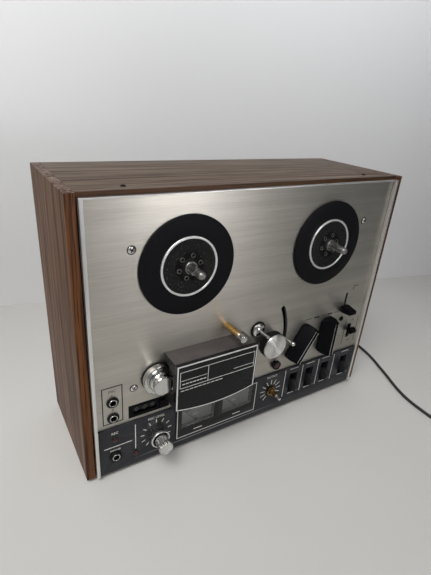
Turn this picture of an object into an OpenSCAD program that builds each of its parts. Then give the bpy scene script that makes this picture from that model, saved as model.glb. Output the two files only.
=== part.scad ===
// Reel-to-reel tape recorder: a wooden case with a brushed deck plate, two reel tables, a covered
// head block, capstan and pinch roller, rotary transport levers, and a control panel with level
// meters, knobs and lever switches. A mains lead leaves the back and ends in a coil and a plug.
// X runs to the right, Y to the back and Z up, in millimetres. The origin is on the floor, in the
// middle of the box that holds the recorder without its lead.

/* [Case] */
// Width over the side boards
case_w = 405; // [395:1:460]
// Height of the wooden case without its feet
case_h = 305; // [295:1:360]
// Depth of the wooden case
case_d = 140; // [130:1:200]
// Thickness of the wooden boards
board_t = 9; // [7:0.5:12]
// Rounding of the side boards' upright edges
board_round = 0.8; // [0.3:0.1:2]
// Height of the rubber feet
foot_h = 4; // [3:0.5:12]
// Diameter of the rubber feet
foot_d = 22; // [14:1:30]
// Distance of each foot's centre from the nearest case edges
foot_inset = 32; // [20:1:50]
// Thickness of the rear panel
rear_t = 3; // [2:0.5:5]
// How far the rear panel lies inside the boards' back edges
rear_inset = 7; // [4:0.5:15]

/* [Front plates] */
// Gap between the front plates and the side boards
edge_gap = 1; // [0.5:0.1:2]
// How far the deck plate's face lies behind the boards' front edges
deck_recess = 0.5; // [0:0.1:1.5]
// Thickness of the deck plate
deck_t = 2; // [1.5:0.1:3]
// Height of wood left bare above and below the front plates
wood_reveal = 1.5; // [1:0.1:4]
// Width of the frame's bars
trim_w = 3.5; // [2.5:0.1:5]
// How far the frame stands in front of the boards
trim_proud = 4; // [2.5:0.1:6]
// Thickness of the steel chassis plate behind the deck
chassis_t = 2; // [1.5:0.1:3]
// Height of the control panel's top edge above the case's bottom
panel_top = 61.7; // [59:0.1:66]
// How far the control panel stands in front of the boards
panel_proud = 2; // [1:0.1:3]
// Upper deck screws' distance to the outside of the reel spindles
reel_screw_dx = 56.7; // [54:0.1:60]
// Upper deck screws' height above the reel spindles
reel_screw_dz = 23; // [20:0.5:26]
// Lower left deck screw's distance to the outside of the guide roller
roller_screw_dx = 25.6; // [24:0.1:28]
// Lower right deck screw's distance to the outside of the play lever
lever_screw_dx = 27.1; // [25:0.1:30]

/* [Reels] */
// Distance between the reel spindles
reel_spacing = 185; // [178:1:200]
// Depth of the spindles below the top of the case
reel_drop = 75; // [65:1:85]
// Diameter of the reel table's black disc
disc_d = 102; // [80:1:110]
// Thickness of the black disc
disc_t = 2.5; // [2:0.1:4]
// Diameter of the raised platform on the disc
platform_d = 61; // [40:1:70]
// Thickness of the raised platform
platform_t = 1.5; // [1:0.1:3]
// Diameter of the reel spindle's post
spindle_d = 8; // [7:0.1:9]
// Width of the three keys on the spindle's post
spindle_key_w = 3; // [1.6:0.1:4]
// Length of the three keys on the spindle's post
spindle_key_l = 9; // [7:0.5:10]
// How far the spindle reaches in front of the boards
spindle_reach = 29; // [24:0.5:33]
// Diameter of the reel table's shaft
reel_shaft_d = 10; // [8:0.5:12]
// Depth of the reel bearing behind the deck
reel_bearing_l = 27; // [20:1:35]

/* [Tape guide roller] */
// Roller's distance from the case's middle line, to the left
roller_left = 123.6; // [121:0.2:128]
// Roller's height above the case's bottom
roller_z = 110.3; // [108:0.1:114]
// Diameter of the roller's chromed flange
flange_d = 34; // [28:0.5:36]
// Diameter of the roller's drum
drum_d = 24; // [18:0.5:25]
// Diameter of the roller's cap
cap_d = 22; // [18:0.5:23.5]
// How far the roller reaches in front of the boards
roller_reach = 18.4; // [17:0.1:22]
// Diameter of the roller's fixed axle
roller_axle_d = 5; // [4:0.5:6]

/* [Head cover] */
// Left edge's distance from the case's middle line
cover_left = 115.6; // [114:0.2:118]
// Width of the head cover
cover_w = 99; // [96:0.5:104]
// Height of the cover's lower corners above the case's bottom
cover_z = 82; // [78:0.5:86]
// Height of the cover's side walls
cover_h = 55.5; // [53:0.5:60]
// How far the lower edge of the front bows down
cover_bow = 6; // [2:0.5:8]
// How far the cover reaches in front of the boards
cover_reach = 28.3; // [26:0.1:32]
// Thickness of the cover's walls
cover_t = 2; // [1.5:0.1:3]
// Distance between neighbouring heads
head_pitch = 24; // [20:0.5:26]
// Width of a head
head_w = 15; // [10:0.5:17]
// Height of the heads' plate above the cover's lower corners
head_rise = 15; // [13:0.5:17]
// Length of the heads in front of the deck
head_l = 20; // [16:0.5:22]
// Width of the tape's way out through the cover's right wall
tape_gate_w = 16; // [12:0.5:18]
// Height of the tape's way out through the cover's right wall
tape_gate_h = 30; // [24:0.5:34]

/* [Capstan and pinch roller] */
// Capstan's distance from the case's middle line, to the right
capstan_x = 4; // [2:0.2:6]
// Capstan's height above the case's bottom
capstan_z = 135; // [133:0.2:138]
// Diameter of the capstan shaft
capstan_d = 3.5; // [3:0.1:4.5]
// How far the capstan reaches in front of the boards
capstan_reach = 20; // [17:0.5:26]
// Diameter of the chromed capstan bearing
bearing_d = 17; // [14:0.5:18]
// Diameter of the flywheel
flywheel_d = 72; // [60:1:73]
// Thickness of the flywheel
flywheel_t = 10; // [8:0.5:12]
// Diameter of the pinch roller
pinch_d = 33; // [28:0.5:34]
// How far the pinch roller reaches in front of the boards
pinch_reach = 18; // [17:0.5:22]
// Length of the rubber tyre along its shaft
pinch_tyre_l = 9; // [8:0.5:10]
// Length of the pinch arm from its pivot to the roller
pinch_arm_l = 40; // [36:0.5:44]
// Direction of the pinch arm from its pivot, above level
pinch_arm_angle = 40.4; // [38:0.1:43]
// Pinch arm's pivot, to the left of the capstan
pinch_pivot_left = 14.4; // [12:0.1:17]
// Pinch arm's pivot, below the capstan
pinch_pivot_drop = 44.8; // [42:0.1:48]
// Diameter of the shaft that carries the pinch roller
pinch_shaft_d = 5; // [4:0.5:6]
// Width of the steel arms behind the deck
arm_w = 9; // [8:0.5:11]
// Thickness of the steel arms behind the deck
arm_t = 2.5; // [2:0.1:3]

/* [Shut-off arm] */
// Radius at which the shut-off pin moves
shutoff_r = 90; // [87:0.5:92]
// Shut-off arm's pivot, to the left of the capstan
shutoff_left = 45.8; // [43:0.1:48]
// Shut-off arm's pivot, below the capstan
shutoff_drop = 19; // [17:0.5:22]
// Direction of the lower end of its slot, from the pivot
shutoff_from = -4.2; // [-6:0.1:-3]
// Angle over which the slot runs
shutoff_sweep = 30; // [26:0.5:31]
// Width of the slot
shutoff_slot_w = 6; // [5:0.1:7]
// Diameter of the shut-off pin
shutoff_pin_d = 3; // [2:0.1:4]
// How far the shut-off pin reaches in front of the boards
shutoff_reach = 19; // [16:0.5:24]

/* [Capstan sleeve on its post] */
// Post's distance from the case's middle line, to the left
post_left = 41; // [38:0.5:46]
// Post's height above the case's bottom
post_z = 152; // [150:0.5:158]
// Diameter of the brass sleeve kept on the post
sleeve_d = 8; // [7:0.1:9]
// Length of the brass sleeve
sleeve_l = 25; // [18:0.5:28]
// Diameter of the post's screw cap
post_cap_d = 8.6; // [8:0.1:10]
// How far the post reaches in front of the boards
post_reach = 34; // [32:0.5:38]

/* [Motor and belt] */
// Motor's distance from the case's middle line, to the left
motor_left = 52; // [46:1:60]
// Motor's height above the case's bottom
motor_z = 182; // [176:1:190]
// Diameter of the motor
motor_d = 60; // [50:1:66]
// Length of the motor
motor_l = 55; // [40:1:60]
// Diameter of the motor pulley
pulley_d = 16; // [12:0.5:20]
// Width of the drive belt
belt_w = 5; // [3:0.5:6]
// Thickness of the drive belt
belt_t = 1; // [0.8:0.1:1.5]

/* [Transport levers] */
// Height of both levers' shafts above the case's bottom
lever_z = 98.7; // [97:0.1:101]
// Search lever's distance from the case's middle line
search_x = 75.3; // [74:0.1:78]
// Play lever's distance from the case's middle line
play_x = 121.5; // [120:0.1:124]
// Length of a lever's bar
lever_l = 52; // [44:0.5:54]
// Width of a lever at its foot
lever_w = 23; // [18:0.5:24]
// Width of a lever's front ridge
ridge_w = 6.5; // [4:0.1:8]
// How far a lever reaches in front of the boards
lever_reach = 17; // [14:0.5:20]
// Diameter of a lever's shaft
lever_shaft_d = 8; // [6:0.5:9]
// Resting tilt of the search lever to the right
search_tilt = 30; // [10:1:40]

/* [Deck controls] */
// Pause slider's distance from the right edge of the deck
pause_inset = 43.1; // [41:0.1:45]
// Height of the pause slider at rest
pause_z = 132; // [131:0.5:134]
// Travel of the pause slider
pause_travel = 18; // [14:0.5:19]
// Width of the pause slider's knob
pause_w = 12; // [9:0.5:14]
// How far the pause slider reaches in front of the boards
pause_reach = 16; // [12:0.5:20]
// Power switch's distance from the right edge of the deck
power_inset = 23; // [20:0.1:24]
// Height of the power switch
power_z = 92; // [90:0.5:95]
// Record button's distance from the case's middle line
record_x = 40.1; // [38:0.1:43]
// Height of the record button
record_z = 74.5; // [74:0.1:76]
// Diameter of the record button
record_d = 12; // [9:0.5:12.5]
// Microphone sockets' distance from the left edge of the deck
mic_inset = 20.8; // [18:0.1:23]
// Height of the lower microphone socket
mic_z = 74; // [73.5:0.1:76]
// Distance between the microphone sockets
mic_pitch = 20; // [17:0.5:24]
// Diameter of a plug's shank in the sockets
jack_bore_d = 6.4; // [6.3:0.1:6.6]
// Diameter of a socket's nut
jack_nut_d = 12.6; // [10:0.1:13]
// Tape counter's distance from the left edge of the deck to its middle
counter_inset = 60.7; // [59:0.1:63]
// Height of the strip of deck plate below the tape counter
counter_strip = 3.3; // [2:0.1:4]
// Width of the tape counter
counter_w = 47; // [44:0.5:50]
// Height of the tape counter
counter_h = 16.5; // [14:0.5:16.5]
// Diameter of the counter's wheels
wheel_d = 12.6; // [9:0.1:12.8]

/* [Control panel] */
// Height of the knobs' and switches' middle line above the case's bottom
control_z = 35.6; // [34:0.1:37]
// From the mode lamp to the level knob
level_gap = 24.2; // [20:0.1:27]
// From the level knob to the middle of the meter panel
meter_gap = 80; // [76:0.1:84]
// From the middle of the meter panel to the output control
output_gap = 81.3; // [76:0.1:84]
// Diameter of the outer level knob
outer_knob_d = 21.8; // [19:0.1:23]
// How far the outer level knob reaches in front of the boards
outer_knob_reach = 14.8; // [13:0.1:18]
// Diameter of the inner level knob
inner_knob_d = 16.4; // [12:0.1:18]
// How far the inner level knob reaches in front of the boards
inner_knob_reach = 29.5; // [25:0.5:33]
// How far the bare output shaft reaches in front of the boards
output_reach = 21.6; // [18:0.1:26]
// From the output control to the first selector
selector_gap = 37.6; // [34:0.1:40]
// Distance between the first three selectors
selector_pitch = 29; // [27:0.1:31]
// From the third selector to the last one
last_selector_gap = 37.5; // [34:0.1:40]
// Last selector's distance from the right edge of the deck
last_selector_inset = 22.7; // [20:0.1:24]
// Width of a switch lever's stem
switch_w = 6; // [4:0.1:7]
// Diameter of the power lever's rounded head
power_head_d = 9; // [7:0.1:10]
// Diameter of a selector lever's disc
selector_disc_d = 16; // [12:0.5:17]
// How far a switch lever's head stands in front of its plate
switch_reach = 10.5; // [9:0.1:13]
// Width of the well in which a selector lever moves
well_w = 13; // [10:0.5:15]
// Height of the well in which a selector lever moves
well_h = 31; // [26:0.5:33]
// Headphone socket's distance from the left edge of the deck
phones_inset = 21.2; // [18:0.1:23]
// Height of the headphone socket
phones_z = 22.3; // [20:0.1:24]
// Height of the record lamp
record_lamp_z = 45.8; // [42:0.1:50]
// From the headphone socket to the mode lamp
mode_lamp_gap = 22.5; // [20:0.1:25]
// Height of the mode lamp
mode_lamp_z = 16.3; // [15:0.1:19]
// Diameter of a lamp's lens
lamp_d = 6.4; // [5:0.1:8]

/* [Level meters] */
// Width of the meter panel
meter_panel_w = 111; // [108:0.5:112]
// Height of the meter panel
meter_panel_h = 43.6; // [41:0.1:46]
// Height of the meter panel's middle above the case's bottom
meter_panel_z = 37.1; // [36:0.1:38]
// Distance between the two meters
meter_pitch = 55; // [52:0.5:56]
// Width of a meter's window
window_w = 44; // [38:0.5:46]
// Height of a meter's window
window_h = 26; // [22:0.5:28]
// Depth of a meter's body behind the boards' front edges
meter_depth = 24; // [18:1:35]
// Resting tilt of the needles to the left
needle_tilt = 42; // [30:1:45]

/* [Electronics] */
// Width of the mains transformer
transformer_w = 60; // [50:1:70]
// Depth of the mains transformer
transformer_d = 46; // [40:1:55]
// Height of the mains transformer
transformer_h = 48; // [40:1:55]
// Left end of the transformer, to the left of the case's middle line
transformer_left = 165; // [155:1:170]
// Transformer's distance behind the boards' front edges
transformer_back = 62; // [55:1:70]
// Width of the amplifier board
amplifier_w = 180; // [150:1:200]
// Depth of the amplifier board
amplifier_d = 70; // [55:1:75]
// Left end of the amplifier board, to the left of the case's middle line
amplifier_left = 70; // [60:1:90]
// Amplifier board's distance behind the boards' front edges
amplifier_back = 50; // [45:1:55]

/* [Mains lead] */
// Diameter of the lead
cord_d = 4.2; // [4:0.1:6]
// Length of the strain relief
gland_l = 38; // [25:1:50]
// Turns in the coil
coil_turns = 6.5; // [4.5:1:8.5]
// Radius at which the coil's spiral turns round
coil_core_r = 21.8; // [18:0.1:26]
// Free space between the coil's turns
coil_gap = 0.6; // [0.5:0.1:1.5]
// Width of the plug's pin face
plug_w = 35; // [30:0.5:38]
// Length of the plug's body
plug_l = 36; // [30:0.5:42]

/* [Hidden] */
$fn = 64;

// Clearances: a shaft that turns in its bore, pieces that pass each other, and pieces that are fitted
run = 0.05;
pass = 0.4;
fit = 0.1;

// The boards' front edges lie here, so that the origin is in the middle from front to back
front_reach = max(post_reach, spindle_reach, cover_reach, inner_knob_reach);
front_y = (front_reach - case_d) / 2;
back_y = front_y + case_d;

// Planes of the front plates, as distances in front of the boards' front edges
deck_out = -deck_recess;
deck_back = deck_out - deck_t;
chassis_back = deck_back - chassis_t;

// Edges of the front plates
inner_w = case_w - 2 * board_t;
plate_w = inner_w - 2 * edge_gap;
plate_top = case_h - wood_reveal;
plate_bottom = wood_reveal;
panel_bottom = plate_bottom;
panel_w = plate_w - 2 * trim_w - 2 * fit;
deck_bottom = panel_top + 3 * fit;
chassis_bottom = deck_bottom + 2;
chassis_top = case_h - board_t - 3;
chassis_w = plate_w - 2 * trim_w;

// Places that follow from the sizes above
reel_z = case_h - reel_drop;
platform_out = deck_out + pass + disc_t + platform_t;
flywheel_front = chassis_back - 7.5;
belt_out = flywheel_front - flywheel_t / 2 - belt_w / 2;
motor_front = flywheel_front - flywheel_t - 8;
pinch_pivot_x = capstan_x - pinch_pivot_left;
pinch_pivot_z = capstan_z - pinch_pivot_drop;
pinch_x = pinch_pivot_x + pinch_arm_l * cos(pinch_arm_angle);
pinch_z = pinch_pivot_z + pinch_arm_l * sin(pinch_arm_angle);
pinch_swing = 9;
arm_out = chassis_back - pass - arm_t;
shutoff_x = capstan_x - shutoff_left;
shutoff_z = capstan_z - shutoff_drop;
shutoff_out = flywheel_front - flywheel_t - 4 - arm_t;
shutoff_rest = shutoff_from + 2;
pause_x = plate_w / 2 - pause_inset;
pause_stem = [2.6, 7];
power_x = plate_w / 2 - power_inset;
mic_x = mic_inset - plate_w / 2;
counter_x = counter_inset - plate_w / 2;
counter_z = deck_bottom + counter_strip + counter_h / 2;

// Row of the control panel: the distances from edge to edge, drawn in or out to fill the plate's width
row_steps = [
    phones_inset, mode_lamp_gap, level_gap, meter_gap, output_gap, selector_gap,
    selector_pitch, selector_pitch, last_selector_gap, last_selector_inset
];
function sum_of(list, n) = n == 0 ? 0 : list[n - 1] + sum_of(list, n - 1);
function row_x(n) = plate_w * (sum_of(row_steps, n) / sum_of(row_steps, len(row_steps)) - 0.5);
phones_x = row_x(1);
lamp_places = [[phones_x, record_lamp_z], [row_x(2), mode_lamp_z]];
level_x = row_x(3);
meter_x = row_x(4);
meter_places = [meter_x - meter_pitch / 2, meter_x + meter_pitch / 2];
output_x = row_x(5);
selector_places = [for (n = [6 : 9]) row_x(n)];

window_z = meter_panel_z + meter_panel_h / 2 - window_h / 2 - 4.5;
screw_places = [
    for (side = [-1, 1]) [side * (reel_spacing / 2 + reel_screw_dx), reel_z + reel_screw_dz],
    [-roller_left - roller_screw_dx, roller_z - 6.7], [play_x + lever_screw_dx, lever_z + 17]
];
top_screw_places = [[-150, 16], [150, 16]];
rear_screw_places = [
    for (x = [-1, 0, 1], z = [-1, 1]) [x * (inner_w / 2 - 8), z * (case_h / 2 - board_t - 6)]
];
screw_r = 1.5;
screw_head_r = 3.6;

// Switch levers turn about this depth behind the boards' front edges
switch_pivot_out = deck_back - 6;
switch_pin_r = 1.5;
switch_body = [14, 30, 18];
selector_body = [well_w + 4, well_h + 4, 18];
switch_slot_h = 22;
switch_rest = 12;

// Concentric controls
outer_shaft_r = 3;
inner_shaft_r = 2;
bush_r = 4.75;
bush_out = panel_proud + 6;
pot_r = 12;
pot_back = deck_back - 18;

// Spindle, as distances in front of the boards
spindle_collar_r = spindle_d / 2 + 2.5;
spindle_collar_out = platform_out + 2.8;

// Mains lead: where it leaves the rear panel, and the points that it follows to its coil
gland_x = 150;
gland_z = 40;
gland_y = back_y - rear_inset;
cord_r = cord_d / 2;
cord_start = [gland_x, gland_y + gland_l, gland_z];
cord_end = [237.5, -210, cord_r];
cord_points = [
    cord_start, cord_start + [0, 10, 0],
    [151, 141, 36], [154, 154, 27], [160, 167, 15.5], [170, 178, 6.5], [184, 185, cord_r],
    [202, 187, cord_r], [222, 182, cord_r], [241, 171, cord_r], [257, 156, cord_r],
    [270, 137, cord_r], [279, 115, cord_r], [285, 91, cord_r], [288, 65, cord_r],
    [289, 38, cord_r], [288, 7, cord_r], [284.5, -12, cord_r], [279, -30.5, cord_r],
    [270, -52.5, cord_r], [260, -76, cord_r], [249.5, -99, cord_r], [243, -117, cord_r],
    [240, -130, cord_r], [238.5, -142, cord_r], [237.8, -154, cord_r], [237.5, -166, cord_r],
    [237.5, -188, cord_r], cord_end
];

// Coil: two layers, the lower one spiralling in and the upper one out again
coil_step = cord_d + coil_gap;
coil_half = coil_turns / 2;
coil_out_r = coil_core_r + coil_step * norm([coil_half, 0.1]);
coil_centre = cord_end + [coil_out_r, -cord_d, 0];
coil_rings = 24;

function unit(v) = v / norm(v);
function smooth(t) = let (c = min(max(t, 0), 1)) c * c * (3 - 2 * c);
function coil_r(turn) = coil_core_r + coil_step * norm([turn - coil_half, 0.1]);
function coil_rise(turn) = coil_step * smooth(2 * (turn - coil_half) + 0.5);
function coil_point(turn) = coil_centre
    + [coil_r(turn) * cos(180 + 360 * turn), coil_r(turn) * sin(180 + 360 * turn), coil_rise(turn)];
coil_last = coil_point(coil_turns);
coil_path = concat(
    [cord_end],
    [for (i = [0 : coil_turns * coil_rings]) coil_point(i / coil_rings)],
    [coil_last + [0, cord_d, 0]]
);
coil_least_gap = min([
    for (i = [0 : len(coil_path) - 1])
        for (k = [i + coil_rings / 2 : len(coil_path) - 1]) norm(coil_path[i] - coil_path[k])
]) - cord_d;
echo("least gap between the coil's turns", coil_least_gap);

// A smooth curve through the points of a route, with some steps between neighbours
function curve_at(a, b, c, d, t) =
    (2 * b + (c - a) * t + (2 * a - 5 * b + 4 * c - d) * t ^ 2 + (3 * b - a - 3 * c + d) * t ^ 3) / 2;
function curve(points, steps) = let (last = len(points) - 1) concat(
    [
        for (i = [0 : last - 1]) for (k = [0 : steps - 1])
            curve_at(points[max(i - 1, 0)], points[i], points[i + 1], points[min(i + 2, last)], k / steps)
    ],
    [points[last]]
);

// A round tube along a path, closed at both ends, in triangles
module cord_tube(path, r, sides) {
    last = len(path) - 1;
    points = [
        for (i = [0 : last])
            let (
                along = unit(path[min(i + 1, last)] - path[max(i - 1, 0)]),
                across = unit(cross(along, [0, 0, 1])),
                up = cross(across, along)
            )
            for (k = [0 : sides - 1])
                path[i] + r * (cos(360 * k / sides) * across + sin(360 * k / sides) * up)
    ];
    walls = [
        for (i = [0 : last - 1]) for (k = [0 : sides - 1])
            let (a = i * sides + k, b = i * sides + (k + 1) % sides)
                each [[a, b, b + sides], [a, b + sides, a + sides]]
    ];
    ends = [
        for (k = [1 : sides - 2])
            each [[0, k + 1, k], [last * sides, last * sides + k, last * sides + k + 1]]
    ];
    polyhedron(points, concat(walls, ends));
}

// Puts a piece on the front: its X to the right, its Y up, its Z out towards the user
module face(x, z, out = 0) {
    translate([x, front_y - out, foot_h + z]) rotate([90, 0, 0]) children();
}

module drum(r, from, to) {
    translate([0, 0, from]) cylinder(r = r, h = to - from);
}

module slab(w, h, from, to) {
    translate([-w / 2, -h / 2, from]) cube([w, h, to - from]);
}

module rounded(w, h, r) {
    square([w - 2 * r, h], center = true);
    square([w, h - 2 * r], center = true);
    for (x = [-1, 1], y = [-1, 1]) translate([x * (w / 2 - r), y * (h / 2 - r)]) circle(r);
}

// Upright slot outline with round ends
module stadium(w, h) {
    square([w, h - w], center = true);
    for (y = [-1, 1]) translate([0, y * (h - w) / 2]) circle(w / 2);
}

// Flat outline of part of a ring, with round ends
module arc_slot(r, w, from, sweep) {
    steps = 16;
    end_steps = 8;
    last = from + sweep;
    function on_arc(radius, a) = radius * [cos(a), sin(a)];
    polygon(concat(
        [for (i = [0 : steps]) on_arc(r + w / 2, from + sweep * i / steps)],
        [for (i = [1 : end_steps - 1]) on_arc(r, last) + on_arc(w / 2, last + 180 * i / end_steps)],
        [for (i = [0 : steps]) on_arc(r - w / 2, last - sweep * i / steps)],
        [for (i = [1 : end_steps - 1]) on_arc(r, from) + on_arc(w / 2, from + 180 + 180 * i / end_steps)]
    ));
}

// Case
module side_board(side) {
    color("sienna") translate([side * (case_w - board_t) / 2, front_y + case_d / 2, foot_h])
        linear_extrude(case_h) rounded(board_t, case_d, board_round);
}

// A board between the side boards, behind the front plates
module cross_board(z) {
    depth = case_d + deck_back;
    translate([-inner_w / 2, back_y - depth, foot_h + z]) cube([inner_w, depth, board_t]);
}

module top_board() {
    color("sienna") difference() {
        cross_board(case_h - board_t);
        for (p = top_screw_places)
            translate([p[0], front_y + p[1], foot_h + case_h - board_t - 1])
                cylinder(r = screw_r + fit, h = board_t + 2);
    }
}

module bottom_board() {
    color("sienna") cross_board(0);
}

module feet() {
    color("#202020")
        for (x = [-1, 1], y = [front_y + foot_inset, back_y - foot_inset])
            translate([x * (case_w / 2 - foot_inset), y, 0])
                cylinder(d1 = foot_d - 3, d2 = foot_d, h = foot_h);
}

// Seen from the back: X to the right of the user at the front, Y up, Z into the case
module on_rear(x, z) {
    translate([x, gland_y, foot_h + z]) rotate([90, 0, 0]) children();
}

module rear_panel() {
    vent_rows = 3;
    vent_cols = 14;
    line_pitch = 18;
    line_places = [for (x = [0, 1], z = [0, 1]) [-150 + x * line_pitch, 40 + z * line_pitch]];
    color("#2b2521") {
        on_rear(0, 0) linear_extrude(rear_t) difference() {
            translate([-inner_w / 2, board_t]) square([inner_w, case_h - 2 * board_t]);
            for (row = [0 : vent_rows - 1], col = [0 : vent_cols - 1])
                translate([(col - (vent_cols - 1) / 2) * 14, case_h - 60 - row * 36]) stadium(3.5, 26);
            for (p = rear_screw_places) translate([p[0], case_h / 2 + p[1]]) circle(screw_r + fit);
            for (p = line_places) translate(p) circle(3.2);
            translate([gland_x, gland_z - foot_h]) circle(5 + fit);
        }
        for (p = line_places) on_rear(p[0], p[1]) difference() {
            union() {
                drum(4.15, -rear_inset, rear_t + 6);
                drum(6.2, -1.5, 0);
            }
            drum(1.7, -rear_inset - 1, rear_t);
        }
    }
}

// Front plates
module deck_holes() {
    for (side = [-1, 1]) translate([side * reel_spacing / 2, reel_z]) circle(d = reel_shaft_d + 4);
    translate([-roller_left, roller_z]) circle(d = roller_axle_d + 2);
    translate([capstan_x, capstan_z]) circle(6 + fit);
    pinch_slot();
    shutoff_slot();
    translate([-post_left, post_z]) circle(2 + fit);
    for (x = [search_x, play_x]) translate([x, lever_z]) circle(d = lever_shaft_d + 2);
    pause_slot();
    translate([power_x, power_z]) stadium_slot();
    translate([record_x, record_z]) circle(d = record_d + 2 * pass);
    for (i = [0, 1]) translate([mic_x, mic_z + i * mic_pitch]) circle(5 + fit);
    translate([counter_x, counter_z]) square([counter_w, counter_h + 2 * fit], center = true);
    for (p = screw_places) translate(p) circle(screw_r + fit);
}

module pause_slot() {
    translate([pause_x, pause_z + pause_travel / 2])
        stadium(pause_stem[0] + 2 * pass, pause_travel + pause_stem[0] + pause_stem[1]);
}

module pinch_slot() {
    translate([pinch_pivot_x, pinch_pivot_z])
        arc_slot(pinch_arm_l, pinch_shaft_d + 2, pinch_arm_angle - 1, pinch_swing + 2);
}

module shutoff_slot() {
    translate([shutoff_x, shutoff_z]) arc_slot(shutoff_r, shutoff_slot_w, shutoff_from, shutoff_sweep);
}

module stadium_slot() {
    rounded(switch_w + 2 * pass, switch_slot_h, 1);
}

module deck_plate() {
    color("silver") face(0, 0, deck_back) linear_extrude(deck_t) difference() {
        translate([-plate_w / 2, deck_bottom]) square([plate_w, plate_top - deck_bottom]);
        deck_holes();
    }
}

// Frame along the top and both sides of the front plates, open at the bottom
module trim_frame() {
    color("gainsboro") face(0, 0, deck_out) linear_extrude(trim_proud - deck_out) difference() {
        translate([-plate_w / 2, plate_bottom]) square([plate_w, plate_top - plate_bottom]);
        translate([trim_w - plate_w / 2, plate_bottom - 1])
            square([plate_w - 2 * trim_w, plate_top - plate_bottom - trim_w + 1]);
    }
}

module bearing_tube(x, z, r, l) {
    face(x, z, deck_back - l) difference() {
        drum(r + 3, 0, l);
        drum(r + run, -1, l + 1);
    }
}

// Steel plate behind the deck, with the bearings and pivots that carry what moves
module chassis() {
    pivot_r = 3;
    color("#8a8d90") {
        face(0, 0, chassis_back) linear_extrude(chassis_t) difference() {
            translate([-chassis_w / 2, chassis_bottom])
                square([chassis_w, chassis_top - chassis_bottom]);
            for (side = [-1, 1])
                translate([side * reel_spacing / 2, reel_z]) circle(d = reel_shaft_d + 2 * run);
            translate([capstan_x, capstan_z]) circle(6 + fit);
            pinch_slot();
            shutoff_slot();
            translate([-post_left, post_z]) circle(2 + fit);
            for (x = [search_x, play_x]) translate([x, lever_z]) circle(d = lever_shaft_d + 2 * run);
            pause_slot();
            translate([power_x, power_z]) square([switch_body[0] + 1, switch_body[1] + 1], center = true);
            translate([record_x, record_z]) circle(record_d / 3 + run);
            for (i = [0, 1]) translate([mic_x, mic_z + i * mic_pitch]) circle(7);
            translate([counter_x - counter_w / 2 - 0.5, chassis_bottom - 1])
                square([counter_w + 1, counter_z + counter_h / 2 + 2 - chassis_bottom]);
            for (p = screw_places) translate(p) circle(screw_r + fit);
        }
        for (side = [-1, 1])
            bearing_tube(side * reel_spacing / 2, reel_z, reel_shaft_d / 2, reel_bearing_l);
        for (x = [search_x, play_x]) bearing_tube(x, lever_z, lever_shaft_d / 2, 14);
        bearing_tube(record_x, record_z, record_d / 3, 8);
        face(pinch_pivot_x, pinch_pivot_z) drum(pivot_r, arm_out - 1.5, chassis_back);
        face(shutoff_x, shutoff_z) {
            drum(pivot_r + 2, shutoff_out + arm_t + pass, chassis_back);
            drum(pivot_r, shutoff_out - 1.5, chassis_back);
        }
    }
}

module control_panel() {
    color("#1b1c1e") face(0, 0, deck_back) linear_extrude(panel_proud - deck_back) difference() {
        translate([-panel_w / 2, panel_bottom]) square([panel_w, panel_top - panel_bottom]);
        for (x = [level_x, output_x]) translate([x, control_z]) circle(bush_r + fit);
        for (x = selector_places) translate([x, control_z]) rounded(well_w, well_h, 1);
        translate([phones_x, phones_z]) circle(5 + fit);
        for (p = lamp_places) translate(p) circle(lamp_d / 2 - 0.6 + fit);
        for (x = meter_places) translate([x, window_z])
            square([meter_body_w() + 2 * fit, meter_body_h() + 2 * fit], center = true);
    }
}

// A screw with a domed head, its shank down -Z
module screw(shank) {
    drum(screw_r, -shank, 0);
    intersection() {
        drum(screw_head_r, 0, 1.6);
        translate([0, 0, 1.6 - 6]) sphere(6);
    }
}

module screws() {
    color("#77736c") {
        for (p = screw_places) face(p[0], p[1], deck_out) screw(8);
        for (p = top_screw_places)
            translate([p[0], front_y + p[1], foot_h + case_h]) screw(board_t - 1);
        for (p = rear_screw_places)
            on_rear(p[0], case_h / 2 + p[1]) rotate([180, 0, 0]) screw(rear_t + 2);
    }
}

// Level meters
function meter_body_w() = window_w + 4;
function meter_body_h() = window_h + 6;

module meter_panel() {
    color("#141416") face(meter_x, meter_panel_z, panel_proud) linear_extrude(2) difference() {
        rounded(meter_panel_w, meter_panel_h, 2);
        for (x = meter_places) translate([x - meter_x, window_z - meter_panel_z])
            rounded(window_w, window_h, 1);
    }
}

module needle_pivot(x, out) {
    face(x, window_z - window_h / 2 + 1, out) children();
}

needle_back = deck_back - 0.8;

module meter_bodies() {
    color("#3a3a3c") for (x = meter_places) {
        face(x, window_z) difference() {
            slab(meter_body_w(), meter_body_h(), -meter_depth, panel_proud);
            slab(meter_body_w() - 2, meter_body_h() - 2, needle_back - 1.5, panel_proud + 1);
        }
        needle_pivot(x, needle_back) drum(0.8, -1.6, 2.2);
    }
}

module meter_glasses() {
    color("lightcyan", 0.4) for (x = meter_places) face(x, window_z, panel_proud + 0.4)
        linear_extrude(1.2) rounded(window_w - 2 * fit, window_h - 2 * fit, 1);
}

module meter_needle(x) {
    color("#d8d8d8") needle_pivot(x, needle_back) rotate(needle_tilt) difference() {
        union() {
            drum(2.2, 0.2, 1.4);
            translate([-0.4, 0, 0.5]) cube([0.8, window_h - 4, 0.6]);
        }
        drum(0.8 + run, -1, 3);
    }
}

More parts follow.
